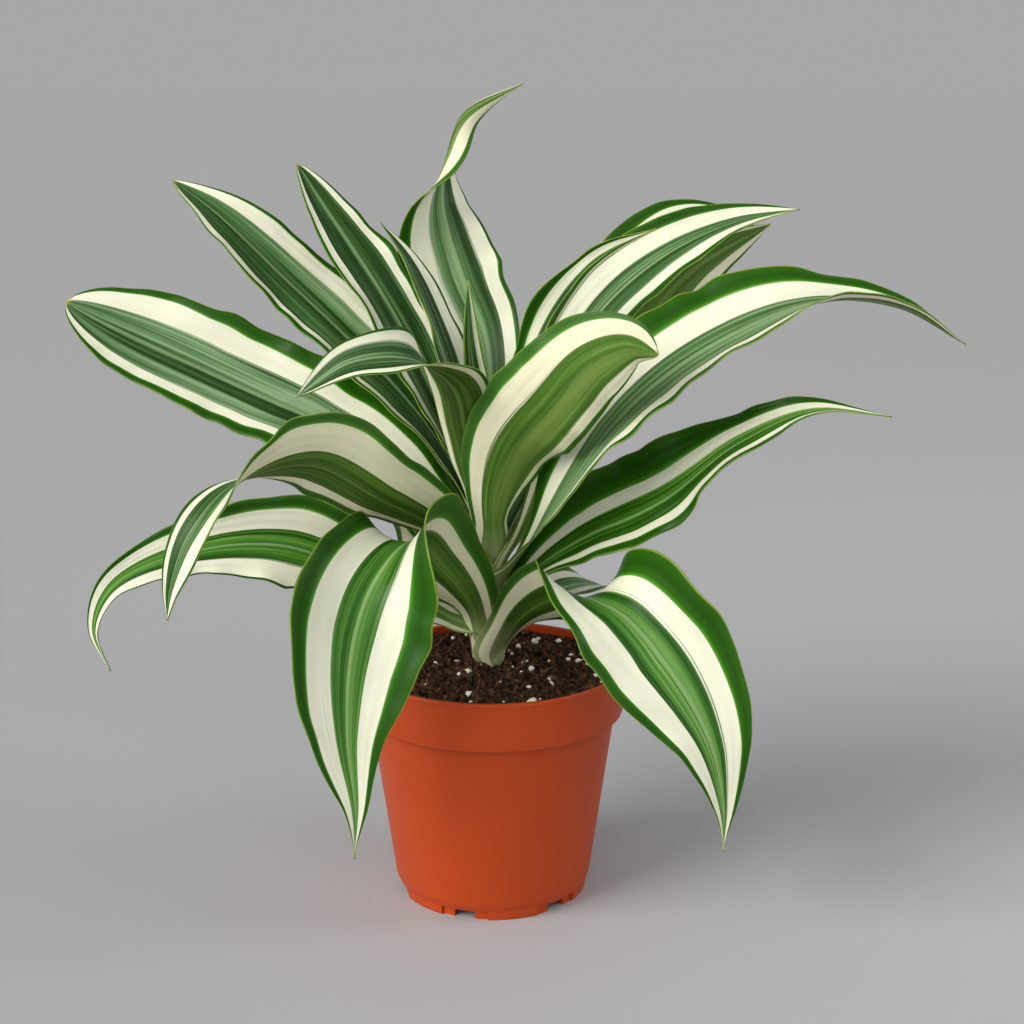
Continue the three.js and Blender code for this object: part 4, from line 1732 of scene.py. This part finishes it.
LEAVES = (
    Leaf(
        "leaf_low_front_left", 243, 127, 68, 0.57,
        ((-9, -12, 148), (-20, -29, 170), (-36, -50, 189), (-51, -70, 175),
         (-60, -84, 148), (-63, -92, 111), (-60, -95, 77), (-61, -93, 53)),
        bands=(-0.58, -0.28, 0.32, 0.66),
        roll=(0, -45, -62, -15, 30, 46, 48, 48, 50),
        cup=(20, 25, 15, 30, 10, 12, 12, 15, 20),
        cup_right=(20, 25, 20, 45, 32, 28, 20, 15, 20),
        tip=(1.4, 1.55),
        growth=0.85,
        sheath=14,
        vigour=0.75,
    ),
    Leaf(
        "leaf_low_front_right", 322, 119, 63, 0.55,
        ((13, -9, 138), (27, -25, 152), (44, -45, 161), (61, -61, 159),
         (82, -74, 138), (99, -80, 107), (106, -77, 72), (107, -72, 47)),
        bands=(-0.56, -0.26, 0.42, 0.8),
        roll=(0, 45, 60, 2, -34, -40, -42, -44, -48),
        cup=(20, 20, 20, 38, 28, 14, 8, 12, 20),
        cup_right=(20, 20, 15, 10, 8, 8, 8, 15, 20),
        wave=(1.5, 60, 1),
        tip=(1.4, 1.5),
        foot_share=0.22,
        growth=0.85,
        vigour=0.7, tone=-0.02,
    ),
    Leaf(
        "leaf_low_left", 168, 129, 46, 0.42,
        ((-22, 4, 138), (-50, -4, 157), (-96, -12, 180), (-144, -16, 177),
         (-180, -20, 160), (-190, -20, 138), (-183, -20, 117)),
        bands=(-0.97, -0.52, 0.24, 0.66),
        roll=(0, 45, 58, 62, 62, 60, 55, 45, 30),
        cup=(20, 15, 8, 8, 10),
        tip=(1, 1.15),
        sheath=15,
        vigour=0.95, tone=-0.03,
    ),
    Leaf(
        "leaf_low_right", 340, 137, 49, 0.4,
        ((17, -3, 162), (40, -4, 182), (79, -18, 206), (113, -33, 234), (145, -40, 248), (181, -42, 245)),
        bands=(-0.3, -0.06, 0.66, 0.8),
        roll=(0, -40, -58, -62, -60, -56, -45, -35, -20),
        cup=(20, 18, 10, 12, 20),
        wave=(4, 62, 0),
        tip=(1.15, 1.15),
        sheath=20,
        vigour=1, tone=0.01,
    ),
    Leaf(
        "leaf_left_arching", 228, 156, 46, 0.5,
        ((-19, -13, 184), (-49, -36, 209), (-78, -54, 229), (-108, -68, 222),
         (-130, -75, 198), (-140, -78, 175), (-143, -78, 160)),
        bands=(-0.8, -0.16, 0.64, 0.86),
        roll=(-5, -35, -48, -52, -50, -30, 20, 50, 60),
        vigour=0.3, tone=-0.02,
    ),
    Leaf(
        "leaf_right_long", 318, 150, 60, 0.6,
        ((20, -9, 181), (33, -20, 207), (60, -29, 249), (95, -30, 277),
         (140, -27, 295), (185, -20, 292), (219, -16, 274)),
        bands=(-0.58, -0.16, 0.74, 0.86),
        roll=(0, -45, -65, -70, -68, -60, -50, -45, -40),
        cup=(20, 20, 15, 20, 40),
        wave=(1.8, 70, 0),
        tip=(1.6, 1.3),
        foot_share=0.15,
        tone=0.02,
    ),
    Leaf(
        "leaf_left_broad", 180, 163, 58, 0.55,
        ((-24, 8, 190), (-45, 13, 211), (-72, 23, 227),
         (-123, 42, 248), (-170, 56, 266), (-215, 66, 284)),
        bands=(-0.76, -0.62, 0.34, 0.7),
        roll=(5, 40, 56, 60, 62, 64, 64, 62, 60),
        cup=(20, 15, 8, 8, 10),
        cup_right=(20, 2, 2, 6, 10),
        tip=(3.6, 0.66),
        foot_share=0.13,
        vigour=0, tone=0.02,
    ),
    Leaf(
        "leaf_right_back", 18, 159, 48, 0.5,
        ((20, 9, 184), (36, 17, 211), (54, 28, 240), (78, 43, 273), (103, 54, 301), (138, 62, 323)),
        bands=(-0.58, -0.28, 0.72, 0.88),
        roll=(0, 50, 72, 78, 80, 80, 80, 76, 68),
        cup=(20, 20, 10, 10, 15),
        wave=(1.8, 60, 0),
        tip=(2.2, 0.9),
    ),
    Leaf(
        "leaf_centre_recurved", 282, 169, 50, 0.48,
        ((0, -11, 200), (7, -26, 226), (24, -47, 252), (43, -62, 274), (59, -73, 282), (72, -80, 279)),
        bands=(-0.9, -0.74, 0.34, 0.73),
        roll=(0, 10, 20, 25, 30, 35, 40, 40, 40),
        cup=(20, 25, 15, 15, 25),
        tip=(2.9, 0.72),
        vigour=0.6, tone=0.03,
    ),
    Leaf(
        "leaf_left_upper", 160, 181, 42, 0.5,
        ((-20, 19, 212), (-40, 31, 240), (-73, 50, 272),
         (-106, 63, 301), (-139, 74, 329), (-162, 84, 343)),
        bands=(-0.9, -0.76, 0.5, 0.86),
        roll=(0, 28, 42, 44, 44, 44, 44, 42, 40),
        cup=(20, 20, 15, 12, 15),
        cup_right=(20, 10, 5, 8, 12),
        tip=(2.6, 0.8),
        vigour=0.1, tone=-0.07,
    ),
    Leaf(
        "leaf_right_upper", 20, 187, 42, 0.55,
        ((15, 10, 221), (27, 18, 250), (53, 35, 286), (85, 46, 311), (118, 51, 325), (151, 52, 331)),
        bands=(-0.6, -0.24, 0.46, 0.72),
        roll=(0, -25, -42, -46, -46, -45, -42, -38, -30),
        cup=(20, 20, 15, 15, 30),
        vigour=0.1, tone=0.02,
    ),
    Leaf(
        "leaf_back_right_arching", 42, 178, 37, 0.5,
        ((19, 24, 216), (35, 47, 261), (59, 68, 297), (91, 80, 325), (116, 90, 327), (138, 96, 317)),
        bands=(-0.35, -0.2, 0.45, 0.8),
        roll=(0, -10, -10, -10, 0),
        cup=(20, 20, 15, 15, 20),
        vigour=0.3, tone=-0.05,
    ),
    Leaf(
        "leaf_small_recurved", 250, 183, 35, 0.45,
        ((-9, -4, 206), (-13, -11, 231), (-19, -24, 256),
         (-36, -40, 271), (-62, -49, 271), (-86, -53, 256)),
        bands=(-0.9, -0.75, 0.62, 0.9),
        roll=(0, -10, -12, -8, 10, 45, 75, 85, 88),
        cup=(20, 35, 25, 20, 20),
        wave=(1, 50, 0),
        tip=(2, 0.9),
        vigour=0, tone=-0.1,
    ),
    Leaf(
        "leaf_left_steep", 168, 189, 35, 0.5,
        ((-16, 12, 216), (-28, 20, 243), (-46, 35, 278), (-65, 48, 307), (-84, 60, 333), (-97, 68, 352)),
        bands=(-0.86, -0.62, 0.62, 0.86),
        roll=(0, 28, 42, 44, 44, 44, 44, 44, 44),
        cup=(20, 20, 15, 12, 15),
        tip=(2.8, 0.75),
        vigour=0.1, tone=-0.06,
    ),
    Leaf(
        "leaf_inner_left", 185, 195, 26, 0.5,
        ((-11, 8, 222), (-18, 13, 250), (-28, 17, 280), (-41, 20, 310), (-53, 22, 327)),
        bands=(-0.92, -0.78, 0.52, 0.88),
        roll=(0, 20, 40, 40, 40),
        cup=(20, 30, 25, 25, 30),
        wave=(1, 50, 0),
        vigour=0.1, tone=-0.06,
    ),
    Leaf(
        "leaf_top", 92, 199, 54, 0.5,
        ((-4, 40, 235), (-8, 55, 265), (-22, 62, 299), (-28, 61, 331),
         (-22, 61, 357), (-14, 60, 374), (15, 56, 391)),
        bands=(-0.68, -0.18, 0.64, 0.92),
        roll=(0, 5, 14, 12, 8, -14, -80, -145, -175),
        cup=(20, 20, 8, 4, 4, 10, 30, 45, 45),
        cup_right=(20, 25, 12, 12, 12, 15, 30, 50, 50),
        tip=(1.1, 1.1),
        foot_share=0.1,
        vigour=0.1, tone=-0.02,
    ),
    Leaf(
        "leaf_inner_right", 345, 196, 27, 0.55,
        ((11, 3, 225), (16, -1, 250), (27, -1, 279), (48, -4, 309), (76, -5, 326)),
        bands=(-0.62, -0.34, 0.34, 0.64),
        roll=(0, -25, -45, -50, -40),
        cup=(20, 45, 45, 50, 60),
        wave=(1, 50, 0),
        vigour=0.5,
    ),
    Leaf(
        "leaf_spear", None, 206, 22, 0.45,
        ((-4, 7, 235), (-9, 7, 268), (-11, 6, 301)),
        bands=(-0.9, -0.8, 0.2, 0.85),
        cup=(40, 60, 60, 60, 60),
        wave=(0.5, 50, 0),
        vigour=0.3,
    ),
    Leaf(
        "leaf_back_low", 115, 130, 46, 0.5,
        ((-16, 34, 156), (-28, 60, 171), (-36, 86, 159), (-40, 101, 126)),
        bands=(-0.7, -0.4, 0.45, 0.8),
        vigour=0.4,
    ),
    Leaf(
        "leaf_back_low_left", 142, 147, 44, 0.5,
        ((-30, 29, 174), (-58, 48, 190), (-88, 64, 178), (-104, 74, 150)),
        bands=(-0.8, -0.5, 0.35, 0.7),
        tone=0.03,
    ),
    Leaf(
        "leaf_back_low_right", 42, 124, 42, 0.5,
        ((20, 24, 138), (44, 46, 142), (66, 64, 130), (82, 76, 104)),
        bands=(-0.65, -0.4, 0.5, 0.82),
        vigour=0.6,
    ),
    Leaf(
        "leaf_back_middle", 85, 150, 42, 0.5,
        ((2, 34, 190), (6, 61, 221), (8, 85, 230), (10, 101, 219)),
        bands=(-0.78, -0.42, 0.4, 0.7),
    ),
    Leaf(
        "leaf_back_middle_left", 98, 171, 42, 0.5,
        ((-24, 35, 199), (-43, 60, 227), (-60, 83, 233), (-70, 98, 220)),
        bands=(-0.68, -0.36, 0.5, 0.84),
        vigour=0.1, tone=-0.04,
    ),
    Leaf(
        "leaf_back_middle_right", 48, 168, 40, 0.5,
        ((24, 34, 212), (38, 62, 243), (50, 84, 254), (60, 100, 246)),
        bands=(-0.82, -0.55, 0.38, 0.72),
        vigour=0.4, tone=0.02,
    ),
)


def main() -> None:
    """Builds the plant and its studio."""
    logging.basicConfig(level=logging.INFO, format="%(name)s: %(message)s")
    Studio().build()
    stem = Stem()
    NurseryPot().build()
    PottingMix(stem).build()
    stem.build()
    Foliage(LEAVES, stem).build()


if __name__ == "__main__":
    main()
